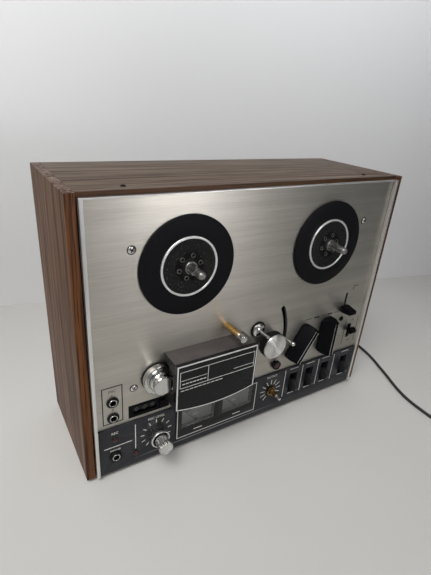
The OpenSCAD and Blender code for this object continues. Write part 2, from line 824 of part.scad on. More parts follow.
// Head cover: a shell that is open below and behind, with a front that bows down
module head_cover() {
    depth = cover_reach - deck_out;
    bow_r = (cover_w ^ 2 / 4 + cover_bow ^ 2) / (2 * cover_bow);
    gap = 2;
    color("#1d1b1b") difference() {
        face(0, 0, deck_out) {
            linear_extrude(depth) translate([-cover_left, cover_z]) difference() {
                square([cover_w, cover_h]);
                translate([cover_t, -1]) square([cover_w - 2 * cover_t, cover_h - cover_t + 1]);
            }
            translate([0, 0, depth - cover_t]) linear_extrude(cover_t) {
                translate([-cover_left, cover_z]) square([cover_w, cover_h]);
                intersection() {
                    translate([cover_w / 2 - cover_left, cover_z - cover_bow + bow_r])
                        circle(bow_r, $fn = 128);
                    translate([-cover_left, cover_z - cover_bow]) square([cover_w, cover_bow + 1]);
                }
            }
        }
        face(-roller_left, roller_z) {
            drum(flange_d / 2 + gap, deck_out - 1, roller_flange_out() + gap);
            drum(drum_d / 2 + gap, deck_out - 1, roller_reach + gap);
        }
        face(cover_w - cover_left, cover_z, tape_out())
            translate([-cover_t - 1, -1, -tape_gate_w / 2])
                cube([cover_t + 2, tape_gate_h, tape_gate_w]);
    }
}

// Middle of the tape's width, in front of the boards
function tape_out() = pinch_reach - pinch_tyre_l / 2 - 3;

// Heads on their mounting plate, with a tape guide post at each end
module head_block() {
    middle = cover_w / 2 - cover_left + 3;
    base_z = cover_z + head_rise;
    nose_z = base_z + 2 + head_w / 2;
    plate_h = cover_h - head_rise - cover_t - 2.5;
    color("#9a9a9c") {
        face(middle, base_z + plate_h / 2, deck_out) linear_extrude(2.5)
            rounded(head_pitch * 2 + head_w + 14, plate_h, 2);
        for (i = [-1, 0, 1]) face(middle + i * head_pitch, nose_z, deck_out) linear_extrude(head_l) {
            circle(head_w / 2);
            translate([-head_w / 2, 0]) square([head_w, head_w]);
        }
        for (side = [-1, 1]) face(middle + side * (head_pitch + head_w / 2 + 4), nose_z, deck_out) {
            drum(2, 0, 19);
            drum(3.2, 0, 6);
            drum(3.2, 15, 19);
        }
    }
}

// Tape guide roller on a fixed axle
function roller_flange_out() = deck_out + 8.5;

module guide_roller() {
    foot = deck_out + pass;
    flange = roller_flange_out();
    r = flange_d / 2;
    color("#d5d5d8") face(-roller_left, roller_z) difference() {
        rotate_extrude() polygon([
            [0, foot], [r + 0.5, foot], [r + 0.5, foot + 1], [r, foot + 1.4],
            [r, flange - 0.8], [r - 0.8, flange], [r * 0.72, flange], [r * 0.6, flange - 1.5],
            [drum_d / 2 - 1, flange - 1.5], [drum_d / 2, flange + 1], [drum_d / 2, flange + 4.5],
            [cap_d / 2 - 1.5, flange + 5.2], [cap_d / 2, flange + 5.9],
            [cap_d / 2, roller_reach - 1.2], [cap_d / 2 - 1.2, roller_reach], [0, roller_reach]
        ]);
        drum(roller_axle_d / 2 + run, foot - 1, roller_reach - 4.5);
    }
}

// Capstan: a shaft in a chromed bearing, with the flywheel behind the chassis
module capstan_housing() {
    r = bearing_d / 2;
    color("#d5d5d8") face(capstan_x, capstan_z) difference() {
        rotate_extrude() polygon([
            [0, flywheel_front + 1], [6, flywheel_front + 1], [6, deck_out], [r + 1.8, deck_out],
            [r + 1.8, deck_out + 1], [r, deck_out + 1.2], [r, deck_out + 2.4], [r - 1.2, deck_out + 3.8],
            [r - 4, deck_out + 4.6], [0, deck_out + 4.6]
        ]);
        drum(capstan_d / 2 + run, flywheel_front - 1, deck_out + 6);
    }
}

module capstan() {
    back = flywheel_front - flywheel_t;
    rim = flywheel_d / 2;
    color("#b9bcc0") face(capstan_x, capstan_z) {
        drum(capstan_d / 2, back, capstan_reach);
        difference() {
            drum(rim, back, flywheel_front);
            difference() {
                drum(rim - 6, back - 1, back + 3);
                drum(9, back - 1, back + 4);
            }
        }
    }
}

// Flat belt round the flywheel and the motor pulley
module belt_outline(extra) {
    hull() {
        translate([capstan_x, capstan_z]) circle(flywheel_d / 2 + extra, $fn = 96);
        translate([-motor_left, motor_z]) circle(pulley_d / 2 + extra, $fn = 48);
    }
}

module drive_belt() {
    inner = 0.3;
    color("#17171a") face(0, 0, belt_out) linear_extrude(belt_w) difference() {
        belt_outline(inner + belt_t);
        belt_outline(inner);
    }
}

module motor() {
    post = motor_d / 2 - 6;
    shaft_r = 3;
    color("#6d7175") face(-motor_left, motor_z) {
        difference() {
            union() {
                drum(motor_d / 2, motor_front - motor_l, motor_front - 3);
                translate([0, 0, motor_front - 3]) linear_extrude(3) rounded(motor_d, motor_d, 5);
                drum(8, motor_front, motor_front + 2);
            }
            drum(shaft_r + run, motor_front - 20, motor_front + 3);
        }
        for (x = [-1, 1], y = [-1, 1]) translate([x * post, y * post]) drum(3, motor_front, chassis_back);
    }
}

module motor_pulley() {
    middle = belt_out + belt_w / 2;
    half = belt_w / 2 + 1.5;
    color("#c8b26a") face(-motor_left, motor_z) {
        drum(pulley_d / 2, middle - half, middle + half);
        drum(3, motor_front - 19, middle - half);
    }
}

// Steel arm behind the deck, from its pivot bore to its far end along X
module swing_arm(l, pivot_bore) {
    difference() {
        union() {
            drum(arm_w / 2 + 1, 0, arm_t);
            drum_at = l;
            translate([drum_at, 0]) drum(arm_w / 2, 0, arm_t);
            translate([0, -arm_w / 2]) cube([l, arm_w, arm_t]);
        }
        drum(pivot_bore, -1, arm_t + 1);
    }
}

module pinch_arm() {
    color("#a3a6a8") face(pinch_pivot_x, pinch_pivot_z) rotate(pinch_arm_angle) {
        translate([0, 0, arm_out]) swing_arm(pinch_arm_l, 3 + run);
        translate([pinch_arm_l, 0]) {
            drum(pinch_shaft_d / 2, arm_out, pinch_reach - 5);
            drum(pinch_shaft_d / 2 + 1.5, deck_out + 3, pinch_reach - pinch_tyre_l - 3.4);
        }
    }
}

// Rubber tyre with a domed metal cap
module pinch_roller() {
    r = pinch_d / 2;
    back = pinch_reach - pinch_tyre_l - 3;
    front = pinch_reach - 3;
    color("#bcbcbc") face(pinch_x, pinch_z) difference() {
        rotate_extrude() polygon([
            [0, back], [r - 0.8, back], [r, back + 0.8], [r, front - 0.8], [r - 0.8, front],
            [r - 0.6, front + 0.3], [r - 0.6, front + 1.4], [r - 2, front + 2.6], [r - 5, pinch_reach],
            [0, pinch_reach]
        ]);
        drum(pinch_shaft_d / 2 + run, back - 1, pinch_reach - 4.5);
    }
}

module shutoff_arm() {
    color("#a3a6a8") face(shutoff_x, shutoff_z) rotate(shutoff_rest) {
        translate([0, 0, shutoff_out]) swing_arm(shutoff_r, 3 + run);
        translate([shutoff_r, 0]) {
            drum(shutoff_pin_d / 2, shutoff_out, shutoff_reach - 2);
            translate([0, 0, shutoff_reach - 2.6]) sphere(2.6);
        }
    }
}

// Brass sleeve for the capstan, kept on a post under a screw cap
module deck_posts() {
    cap = deck_out + sleeve_l;
    color("#c9c9cb") {
        face(-post_left, post_z) {
            drum(2, chassis_back - 4, cap);
            rotate_extrude() polygon([
                [0, cap], [post_cap_d / 2, cap], [post_cap_d / 2, post_reach - 1.2],
                [post_cap_d / 2 - 1.2, post_reach], [0, post_reach]
            ]);
        }
        face(-roller_left, roller_z) drum(roller_axle_d / 2, deck_back, roller_reach - 5);
    }
}

module capstan_sleeve() {
    r = sleeve_d / 2;
    color("#b98a3c") face(-post_left, post_z, deck_out) difference() {
        rotate_extrude() polygon([
            [0, 0], [r - 0.6, 0], [r - 0.6, 3], [r, 3.4], [r, sleeve_l * 0.6], [r - 0.5, sleeve_l * 0.6],
            [r - 0.5, sleeve_l * 0.7], [r, sleeve_l * 0.7], [r, sleeve_l], [0, sleeve_l]
        ]);
        drum(2 + fit, -1, sleeve_l + 1);
    }
}

// Reels
module reel_table(side) {
    foot = deck_out + pass;
    disc = foot + disc_t;
    r = disc_d / 2;
    bearing_end = deck_back - reel_bearing_l;
    color("#141416") face(side * reel_spacing / 2, reel_z) difference() {
        union() {
            rotate_extrude() polygon([
                [0, foot], [r - 0.6, foot], [r, foot + 0.6], [r, disc - 0.8], [r - 0.8, disc],
                [platform_d / 2, disc], [platform_d / 2, platform_out - 0.4],
                [platform_d / 2 - 0.4, platform_out], [platform_d / 2 - 2.2, platform_out],
                [platform_d / 2 - 2.6, platform_out - 0.6], [17, platform_out - 0.6],
                [16.6, platform_out - 1.2], [spindle_collar_r + 1, platform_out - 1.2],
                [spindle_collar_r + 0.6, platform_out], [0, platform_out]
            ]);
            drum(reel_shaft_d / 2, bearing_end - pass - 2, foot);
            drum(reel_shaft_d / 2 + 2, bearing_end - pass - 2, bearing_end - pass);
        }
        for (i = [0 : 5]) rotate(60 * i + 15) translate([11.5, 0]) drum(1.6, foot + 0.8, platform_out);
    }
}

module spindle(side) {
    r = spindle_d / 2;
    seat = spindle_collar_out + spindle_key_l + 0.8;
    color("#a9a9a6") face(side * reel_spacing / 2, reel_z) {
        rotate_extrude() polygon([
            [0, platform_out], [spindle_collar_r, platform_out],
            [spindle_collar_r, spindle_collar_out - 0.5], [spindle_collar_r - 0.5, spindle_collar_out],
            [r - 0.3, spindle_collar_out], [r - 0.3, seat - 0.5], [r, seat],
            [r, spindle_reach - 2], [r - 1.6, spindle_reach], [0, spindle_reach]
        ]);
        for (i = [0 : 2]) rotate(120 * i + 90)
            translate([0, -spindle_key_w / 2, spindle_collar_out])
                cube([r + 1.3, spindle_key_w, spindle_key_l]);
    }
}

// Rotary bar lever: a wide foot that rises to a narrow ridge
module transport_lever(x, tilt) {
    foot = deck_out + pass;
    color("#131315") face(x, lever_z) rotate(-tilt) {
        intersection() {
            translate([0, 0, foot]) linear_extrude(lever_reach - foot) rounded(lever_w, lever_l, lever_w / 3);
            rotate([90, 0, 0]) linear_extrude(lever_l, center = true) polygon([
                [-lever_w / 2, foot], [lever_w / 2, foot], [lever_w / 2, foot + 2.5],
                [ridge_w / 2 + 2.5, lever_reach - 7], [ridge_w / 2, lever_reach],
                [-ridge_w / 2, lever_reach], [-ridge_w / 2 - 2.5, lever_reach - 7], [-lever_w / 2, foot + 2.5]
            ]);
            rotate([90, 0, 90]) linear_extrude(lever_w, center = true) polygon([
                [-lever_l / 2, foot], [lever_l / 2, foot], [lever_l / 2, foot + 5],
                [lever_l / 2 - 1.5, lever_reach], [1.5 - lever_l / 2, lever_reach], [-lever_l / 2, foot + 5]
            ]);
        }
        drum(lever_shaft_d / 2, deck_back - 16, foot);
    }
}

// Slider: a wedge knob on a stem through the slot, with a keeper behind the chassis
module pause_slider() {
    foot = deck_out + pass;
    keeper = chassis_back - pass;
    color("#131315") face(pause_x, pause_z) {
        rotate([90, 0, 90]) linear_extrude(pause_w, center = true) polygon([
            [-4.5, foot], [4.5, foot], [4.5, foot + 3], [2, pause_reach], [-3, pause_reach], [-4.5, foot + 5]
        ]);
        slab(pause_stem[0], pause_stem[1], keeper, foot);
        slab(9, 11, keeper - 1.5, keeper);
    }
}

// Lever switches: a housing with two cheeks, and a lever on a pin between them
module switch_at(x, z) {
    face(x, z) children();
}

module switch_housing(body) {
    back = deck_back - body[2];
    difference() {
        slab(body[0], body[1], back, deck_back);
        slab(switch_w + 2 * pass, switch_slot_h + 2, back + 3, deck_back + 1);
        translate([0, 0, switch_pivot_out]) rotate([0, 90, 0])
            cylinder(r = switch_pin_r + run, h = body[0] + 2, center = true);
    }
}

module panel_switches() {
    color("#4a4a4d") {
        for (x = selector_places) switch_at(x, control_z) switch_housing(selector_body);
        switch_at(power_x, power_z) switch_housing(switch_body);
    }
}

module switch_lever(x, z, plate_out, rest, head_d, head_w) {
    reach = plate_out + switch_reach - switch_pivot_out;
    head = reach - head_d / 2;
    color("#1a1a1c") switch_at(x, z) translate([0, 0, switch_pivot_out]) rotate([rest, 0, 0]) {
        rotate([0, 90, 0]) {
            cylinder(r = switch_pin_r, h = switch_body[0] - 1, center = true);
            cylinder(r = 4, h = switch_w, center = true);
        }
        slab(switch_w, 4.4, 0, head);
        translate([0, 0, head]) rotate([0, 90, 0])
            cylinder(d = head_d, h = head_w, center = true);
    }
}

// The power lever rests tipped up, the selector levers rest tipped down
module power_lever() {
    switch_lever(power_x, power_z, deck_out, -switch_rest, power_head_d, switch_w + 2);
}

module selector_lever(i) {
    switch_lever(selector_places[i], control_z, panel_proud, switch_rest, selector_disc_d, switch_w);
}

// Concentric controls
module dual_pots() {
    color("#b28f45") for (x = [level_x, output_x]) face(x, control_z) difference() {
        union() {
            drum(pot_r, pot_back, deck_back);
            drum(bush_r, deck_back, bush_out);
            translate([0, 0, panel_proud]) cylinder(r = 7, h = 2.5, $fn = 6);
        }
        drum(outer_shaft_r + run, pot_back + 3, bush_out + 1);
    }
}

module outer_shaft(to) {
    difference() {
        drum(outer_shaft_r, pot_back + 3.5, to);
        drum(inner_shaft_r + run, pot_back, to + 1);
    }
}

module flutes(r, count, size, from, to) {
    for (i = [0 : count - 1]) rotate(360 * i / count) translate([r, 0]) drum(size, from, to);
}

module level_knob_outer() {
    foot = panel_proud + pass;
    web = bush_out + 0.6;
    r = outer_knob_d / 2;
    color("#c4c4c6") face(level_x, control_z) {
        difference() {
            drum(r, foot, outer_knob_reach);
            drum(8, foot - 1, web);
            drum(inner_shaft_r + run, web - 1, outer_knob_reach + 1);
            flutes(r + 0.5, 24, 0.9, foot - 1, outer_knob_reach - 2.2);
        }
        outer_shaft(web);
    }
}

module level_knob_inner() {
    foot = outer_knob_reach + pass;
    r = inner_knob_d / 2;
    color("#d4d4d6") face(level_x, control_z) {
        difference() {
            rotate_extrude() polygon([
                [0, foot], [r, foot], [r, inner_knob_reach - 1], [r - 1, inner_knob_reach],
                [r - 2, inner_knob_reach - 0.5], [0, inner_knob_reach - 0.5]
            ]);
            flutes(r + 0.6, 14, 1.3, foot - 1, inner_knob_reach + 1);
        }
        drum(inner_shaft_r, pot_back + 3.5, foot);
    }
}

module output_shaft_outer() {
    color("#b28f45") face(output_x, control_z) outer_shaft((bush_out + output_reach) / 2);
}

module output_shaft_inner() {
    color("#c8c8c8") face(output_x, control_z) difference() {
        drum(inner_shaft_r, pot_back + 3.5, output_reach);
        translate([-3, inner_shaft_r * 0.5, output_reach - 5]) cube([6, 3, 6]);
    }
}

// Push button whose stem slides in a bush on the chassis
module record_button() {
    color("#5a1512") face(record_x, record_z) {
        difference() {
            drum(record_d / 2, deck_out + 1.2, deck_out + 5);
            drum(record_d / 2 - 2, deck_out + 4.2, deck_out + 6);
        }
        drum(record_d / 3, deck_back - 9, deck_out + 1.2);
    }
}

// Sockets for standard plugs, with a nut in front and a closed barrel behind
module jack_socket(plate_out) {
    depth = 22;
    difference() {
        union() {
            drum(jack_nut_d / 2, plate_out, plate_out + 1.8);
            drum(5, plate_out - depth - 2, plate_out);
            drum(jack_bore_d / 2 + 1, plate_out, plate_out + 2.6);
        }
        drum(jack_bore_d / 2, plate_out - depth, plate_out + 3);
    }
}

module jack_sockets() {
    color("#2a2a2c") {
        for (i = [0, 1]) face(mic_x, mic_z + i * mic_pitch) jack_socket(deck_out);
        face(phones_x, phones_z) jack_socket(panel_proud);
    }
}

module indicator_lamps() {
    color("#7a1a18") for (p = lamp_places) face(p[0], p[1]) {
        drum(lamp_d / 2 - 0.6, deck_back - 8, panel_proud);
        intersection() {
            drum(lamp_d / 2, panel_proud, panel_proud + 2);
            translate([0, 0, panel_proud + 2 - lamp_d]) sphere(lamp_d);
        }
    }
}

// Tape counter: a housing with a window, three digit wheels on an axle, and a reset button
counter_axle_out = deck_out - 1.7 - wheel_d / 2;
counter_wheel_w = 8.6;
counter_wheel_pitch = 9.2;
counter_bay_w = 3 * counter_wheel_pitch + 0.6;
counter_bay_x = -counter_w / 2 + 4.5 + counter_bay_w / 2;
reset_w = 8;
reset_h = 9;
reset_x = counter_w / 2 - 4 - reset_w / 2;

module counter_axle_at() {
    face(counter_x + counter_bay_x, counter_z, counter_axle_out) rotate([0, 90, 0]) children();
}

module tape_counter() {
    back = deck_out - 20;
    bay_h = wheel_d + 1.2;
    color("#121214") {
        face(counter_x, counter_z) difference() {
            slab(counter_w - 2 * fit, counter_h, back, deck_out);
            translate([counter_bay_x, 0]) {
                slab(counter_bay_w, bay_h, counter_axle_out - bay_h / 2, deck_out - 1);
                slab(counter_bay_w - 2, wheel_d - 3.4, deck_out - 2, deck_out + 1);
            }
            translate([reset_x, 0]) slab(reset_w, reset_h, deck_out - 6, deck_out + 1);
        }
        counter_axle_at() cylinder(r = switch_pin_r, h = counter_bay_w + 2, center = true);
    }
}

module counter_wheel(i) {
    color("#26262a") counter_axle_at() translate([0, 0, (i - 1) * counter_wheel_pitch]) difference() {
        cylinder(d = wheel_d, h = counter_wheel_w, center = true);
        cylinder(r = switch_pin_r + run, h = counter_wheel_w + 1, center = true);
    }
}

module counter_reset() {
    color("#1f1f22") face(counter_x + reset_x, counter_z)
        slab(reset_w - 0.5, reset_h - 0.5, deck_out - 3.5, deck_out + 1.8);
}

// Electronics on the bottom board: a mains transformer and the amplifier board
module electronics() {
    floor_z = foot_h + board_t;
    core = [transformer_w, transformer_d, transformer_h];
    board = [amplifier_w, amplifier_d, 1.6];
    board_lift = 8;
    color("#5b5f57") {
        translate([-transformer_left, front_y + transformer_back, floor_z]) {
            cube([core[0], core[1], 3]);
            translate([6, 6, 3]) cube([core[0] - 12, core[1] - 12, core[2] - 3]);
            translate([12, 0, 14]) cube([core[0] - 24, core[1], core[2] - 22]);
        }
        translate([-amplifier_left, front_y + amplifier_back, floor_z]) {
            translate([0, 0, board_lift]) cube(board);
            for (x = [8, board[0] - 8], y = [8, board[1] - 8])
                translate([x, y, 0]) cylinder(r = 3, h = board_lift);
            for (i = [0 : 3]) translate([30 + 36 * i, 46, board_lift + board[2]]) cylinder(r = 8, h = 24);
            translate([20, 14, board_lift + board[2]]) cube([board[0] - 40, 5, 22]);
        }
    }
}

// Mains lead
module cord_gland() {
    color("#18181a") translate([gland_x, gland_y, gland_z]) rotate([-90, 0, 0]) rotate_extrude() polygon([
        [0, -rear_t - 3], [6.5, -rear_t - 3], [6.5, -rear_t], [5, -rear_t], [5, 0], [7.5, 0], [7.5, 2.5],
        [5.2, 3.5], [cord_r + 0.9, gland_l], [0, gland_l]
    ]);
}

module power_cord() {
    color("#101012") cord_tube(curve(cord_points, 2), cord_r, 8);
}

module cord_coil() {
    color("#101012") cord_tube(coil_path, cord_r, 6);
}

// Flat two-pin plug, lying with its cord at the height of the coil's upper layer
module mains_plug() {
    relief_l = 22;
    neck_w = 14;
    half_t = coil_last[2];
    color("#141416") translate(coil_last + [0, cord_d, 0]) rotate([-90, 0, 0]) {
        cylinder(r1 = cord_r + 0.5, r2 = cord_r + 1.8, h = relief_l);
        translate([0, 0, relief_l]) rotate([90, 0, 0]) linear_extrude(2 * half_t, center = true) polygon([
            [-neck_w / 2, 0], [neck_w / 2, 0], [plug_w / 2 - 2, plug_l * 0.6], [plug_w / 2, plug_l * 0.75],
            [plug_w / 2, plug_l], [-plug_w / 2, plug_l], [-plug_w / 2, plug_l * 0.75],
            [2 - plug_w / 2, plug_l * 0.6]
        ]);
        for (x = [-1, 1]) translate([x * 9.5, 0]) drum(2, relief_l + plug_l, relief_l + plug_l + 19);
    }
}

side_board(-1);  // side_board_left
side_board(1);  // side_board_right
top_board();
bottom_board();
rear_panel();
feet();
deck_plate();
trim_frame();
chassis();
control_panel();
screws();
meter_panel();
meter_bodies();
meter_glasses();
meter_needle(meter_places[0]);  // meter_needle_left
meter_needle(meter_places[1]);  // meter_needle_right
head_cover();
head_block();
guide_roller();
capstan_housing();
capstan();
drive_belt();
motor();
motor_pulley();
pinch_arm();
pinch_roller();
shutoff_arm();
deck_posts();
capstan_sleeve();
reel_table(-1);  // reel_table_left
reel_table(1);  // reel_table_right
spindle(-1);  // spindle_left
spindle(1);  // spindle_right
transport_lever(search_x, search_tilt);  // search_lever
transport_lever(play_x, 0);  // play_lever
pause_slider();
panel_switches();
power_lever();
selector_lever(0);  // selector_lever_1
selector_lever(1);  // selector_lever_2
selector_lever(2);  // selector_lever_3
selector_lever(3);  // selector_lever_4
dual_pots();
level_knob_outer();
level_knob_inner();
output_shaft_outer();
output_shaft_inner();
record_button();
jack_sockets();
indicator_lamps();
tape_counter();
counter_wheel(0);  // counter_wheel_1
counter_wheel(1);  // counter_wheel_2
counter_wheel(2);  // counter_wheel_3
counter_reset();
electronics();
cord_gland();
power_cord();
cord_coil();
mains_plug();
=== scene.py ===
import math
import bpy
from mathutils import Matrix, Vector


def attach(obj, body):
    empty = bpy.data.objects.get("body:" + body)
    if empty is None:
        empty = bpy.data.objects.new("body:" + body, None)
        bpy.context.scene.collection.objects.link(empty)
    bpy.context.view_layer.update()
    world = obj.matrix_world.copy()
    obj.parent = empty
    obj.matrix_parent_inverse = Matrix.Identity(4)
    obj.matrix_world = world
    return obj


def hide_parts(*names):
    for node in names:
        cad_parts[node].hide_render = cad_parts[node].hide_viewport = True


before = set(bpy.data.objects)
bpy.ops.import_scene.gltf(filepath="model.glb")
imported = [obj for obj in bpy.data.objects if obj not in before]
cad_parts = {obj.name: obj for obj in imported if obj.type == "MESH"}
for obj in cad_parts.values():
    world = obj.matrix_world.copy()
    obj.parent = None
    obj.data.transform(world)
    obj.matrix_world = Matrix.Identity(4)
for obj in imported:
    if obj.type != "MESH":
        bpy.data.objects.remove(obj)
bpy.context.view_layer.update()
scene = bpy.context.scene
scene.view_settings.view_transform = "Standard"

# STUDIO
# The recorder stands on a table of pale matt paper in front of a pale wall. It is seen from the upper left
# through a wide lens, in soft light from a lamp overhead, a strip for the wall and two lamps in front.
camera = bpy.data.objects.new("camera", bpy.data.cameras.new("camera"))
scene.collection.objects.link(camera)
camera.data.sensor_width = 36.0
camera.data.lens = 25.89
camera.data.clip_start = 0.01
view_right = Vector((0.851996, -0.518721, 0.070934))
view_down = Vector((-0.165681, -0.395658, -0.90333))
view_ahead = Vector((0.496642, 0.757881, -0.423041))
view_turn = Matrix((view_right, -view_down, -view_ahead)).transposed().to_4x4()
camera.matrix_world = Matrix.Translation((-0.27039, -0.37438, 0.38437)) @ view_turn
scene.camera = camera


def new_material(name, roughness=0.5, metallic=0.0, **plain):
    """A material and its shader; what is the same all over is set on the shader itself."""
    material = bpy.data.materials.new(name)
    material.use_nodes = True
    shader = material.node_tree.nodes["Principled BSDF"]
    shader.inputs["Roughness"].default_value = roughness
    shader.inputs["Metallic"].default_value = metallic
    for socket, value in plain.items():
        shader.inputs[socket.replace("_", " ")].default_value = value
    return material, material.node_tree, shader


def feed(tree, node, values):
    """Sets inputs of a node; a value that is a socket is linked."""
    for key, value in values.items():
        if isinstance(value, bpy.types.NodeSocket):
            tree.links.new(value, node.inputs[key])
        else:
            node.inputs[key].default_value = value


def add_node(tree, kind, values=None, **settings):
    """A shader node with its settings and inputs."""
    made = tree.nodes.new("ShaderNode" + kind)
    for key, value in settings.items():
        setattr(made, key, value)
    feed(tree, made, values or {})
    return made


def mix_colours(tree, factor, *colours):
    """A mix of two colours, each a socket, red, green and blue, or one number for a grey."""
    ends = []
    for colour in colours:
        if isinstance(colour, float):
            colour = (colour, colour, colour)
        ends.append((*colour, 1) if isinstance(colour, tuple) else colour)
    made = add_node(tree, "Mix", {0: factor, 6: ends[0], 7: ends[1]}, data_type="RGBA")
    return made.outputs[2]


def spread(tree, value, low, high, to_low, to_high):
    """A value carried from one range to another and kept inside it."""
    made = add_node(tree, "MapRange", {
        "Value": value, "From Min": low, "From Max": high, "To Min": to_low, "To Max": to_high})
    return made.outputs["Result"]


def paper(name, dark, light):
    """Matt paper with a faint cloudiness, clear when seen from behind."""
    material, tree, shader = new_material(name, 0.75)
    place = add_node(tree, "TexCoord").outputs["Object"]
    cloud = add_node(tree, "TexNoise", {"Vector": place, "Scale": 3.0, "Detail": 3.0})
    feed(tree, shader, {"Base Color": mix_colours(tree, cloud.outputs["Fac"], dark, light)})
    clear = add_node(tree, "BsdfTransparent")
    behind = add_node(tree, "NewGeometry").outputs["Backfacing"]
    seen = add_node(tree, "MixShader", {0: behind, 1: shader.outputs[0], 2: clear.outputs[0]})
    feed(tree, tree.nodes["Material Output"], {"Surface": seen.outputs[0]})
    return material


def pick(*pieces):
    """Selects only these pieces, or none, and makes the last one active."""
    bpy.ops.object.select_all(action="DESELECT")
    for piece in pieces:
        piece.select_set(True)
        bpy.context.view_layer.objects.active = piece


def paper_sheet(name, size, place, turn, material):
    """A flat sheet of the backdrop at its size and place in metres."""
    pick()
    bpy.ops.mesh.primitive_plane_add(size=size, location=place, rotation=[math.radians(a) for a in turn])
    sheet = bpy.context.object
    sheet.name = name
    bpy.ops.object.transform_apply()
    sheet.data.materials.append(material)


table_paper = paper("table_paper", (0.55, 0.545, 0.525), (0.60, 0.595, 0.58))
wall_paper = paper("wall_paper", 0.78, 0.83)
paper_sheet("table", 8.0, (0, 0, 0), (0, 0, 0), table_paper)
paper_sheet("wall", 7.0, (0.3, 0.272, 3.5), (90, 0, -13.75), wall_paper)


def soft_lamp(name, place, aim, width, height, watts, colour, spread_angle):
    """A large flat lamp at a place, turned towards a point, that lights a cone of some angle."""
    lamp = bpy.data.objects.new(name, bpy.data.lights.new(name, "AREA"))
    scene.collection.objects.link(lamp)
    lamp.data.shape = "RECTANGLE"
    lamp.data.size = width
    lamp.data.size_y = height
    lamp.data.energy = watts
    lamp.data.color = colour
    lamp.data.spread = math.radians(spread_angle)
    lamp.visible_camera = False
    lamp.location = place
    lamp.rotation_euler = (Vector(aim) - Vector(place)).to_track_quat("-Z", "Y").to_euler()


soft_lamp("ceiling_light", (-0.85, -0.55, 1.35), (-0.2, -0.1, 0.05), 1.1, 1.1, 2.95, (1.0, 0.98, 0.95), 47)
soft_lamp("wall_light", (-0.17, -0.54, 1.0), (0.1, 0.36, 0.71), 1.4, 0.38, 2.1, (0.97, 0.985, 1.0), 58)
soft_lamp("front_light", (0.45, -1.35, 0.95), (-0.15, -0.05, 0.2), 0.9, 0.9, 0.3, (1.0, 0.985, 0.96), 50)
soft_lamp("deck_light", (0.48, -1.22, 0.36), (-0.1, -0.05, 0.39), 0.3, 0.3, 0.062, (0.98, 0.965, 1.0), 16)
BRIGHT_SIDE = (-0.75, -0.1, 0.65)
scene.world = bpy.data.worlds.new("room")
scene.world.use_nodes = True
tree = scene.world.node_tree
around = add_node(tree, "TexCoord").outputs["Generated"]
heading = add_node(tree, "VectorMath", {0: around, 1: BRIGHT_SIDE}, operation="DOT_PRODUCT")
glow = spread(tree, heading.outputs["Value"], -0.5, 0.9, 0.04, 0.45)
feed(tree, tree.nodes["Background"], {"Color": (0.95, 0.96, 1.0, 1), "Strength": glow})

# MAINS LEAD
# A black rubber lead of 4 mm leaves the back through a strain relief, drops to the table, runs round
# the right side and is wound up in two layers under a tie. A flat two-pin plug is moulded on its end.


def maths(tree, operation, first, second=0.0):
    """The outcome of one operation on two values or sockets."""
    return add_node(tree, "Math", {0: first, 1: second}, operation=operation).outputs[0]


def along_axis(tree, kind, label, axis):
    """One axis of the place on the object or of the normal."""
    vector = add_node(tree, kind).outputs[label]
    return add_node(tree, "SeparateXYZ", {0: vector}).outputs[axis]


def raised(tree, height, strength, distance):
    """The normal of a fine relief."""
    made = add_node(tree, "Bump", {"Height": height, "Strength": strength, "Distance": distance})
    return made.outputs["Normal"]


def new_effect(name, inputs, outputs):
    """A shader node group for an effect that several materials share."""
    group = bpy.data.node_groups.new(name, "ShaderNodeTree")
    for label, kind, value in inputs:
        group.interface.new_socket(label, in_out="INPUT", socket_type=kind).default_value = value
    for label in outputs:
        group.interface.new_socket(label, in_out="OUTPUT", socket_type="NodeSocketFloat")
    return group, group.nodes.new("NodeGroupInput"), group.nodes.new("NodeGroupOutput")


handling, given, result = new_effect(
    "handling_marks", [("Size", "NodeSocketFloat", 60.0)], ["Smudge", "Specks"])
place = add_node(handling, "TexCoord").outputs["Object"]
smear = add_node(handling, "TexNoise", {
    "Vector": place, "Scale": given.outputs["Size"], "Detail": 5.0, "Roughness": 0.6})
finer = maths(handling, "MULTIPLY", given.outputs["Size"], 22.0)
grit = add_node(handling, "TexNoise", {"Vector": place, "Scale": finer, "Detail": 2.0, "Roughness": 0.5})
feed(handling, result, {
    "Smudge": smear.outputs["Fac"], "Specks": spread(handling, grit.outputs["Fac"], 0.62, 0.74, 0.0, 1.0)})


def use_effect(tree, group, **values):
    """The outputs of a shared effect, placed in a material with its own values."""
    return add_node(tree, "Group", values, node_tree=group).outputs


def dull_finish(name, dark, light, dust, size, rough, bump=0.0, top_dust_and_light=None, sheen=0.5):
    """Paint, plastic or rubber: two close tones, dust in specks, gloss that varies, and upward faces
    lightened by settled dust and painted light from above.
    """
    material, tree, shader = new_material(name, rough[0], Specular_IOR_Level=sheen)
    marks = use_effect(tree, handling, Size=size)
    tone = mix_colours(tree, marks["Smudge"], dark, light)
    # Upward faces blend toward the given top tone: settled dust and painted light from above.
    if top_dust_and_light:
        facing = along_axis(tree, "NewGeometry", "Normal", "Z")
        dust_and_light_mask = spread(tree, marks["Smudge"], 0.35, 0.65, 0.55, 1.0)
        dust_and_light_mask = maths(tree, "MULTIPLY", spread(tree, facing, 0.3, 0.95, 0.0, 1.0), dust_and_light_mask)
        tone = mix_colours(tree, dust_and_light_mask, tone, top_dust_and_light)
    tone = mix_colours(tree, maths(tree, "MULTIPLY", marks["Specks"], 0.5), tone, dust)
    feed(tree, shader, {"Base Color": tone, "Roughness": spread(tree, marks["Smudge"], 0.3, 0.7, *rough)})
    if bump:
        feed(tree, shader, {"Normal": raised(tree, marks["Specks"], bump, 0.0002)})
    return material


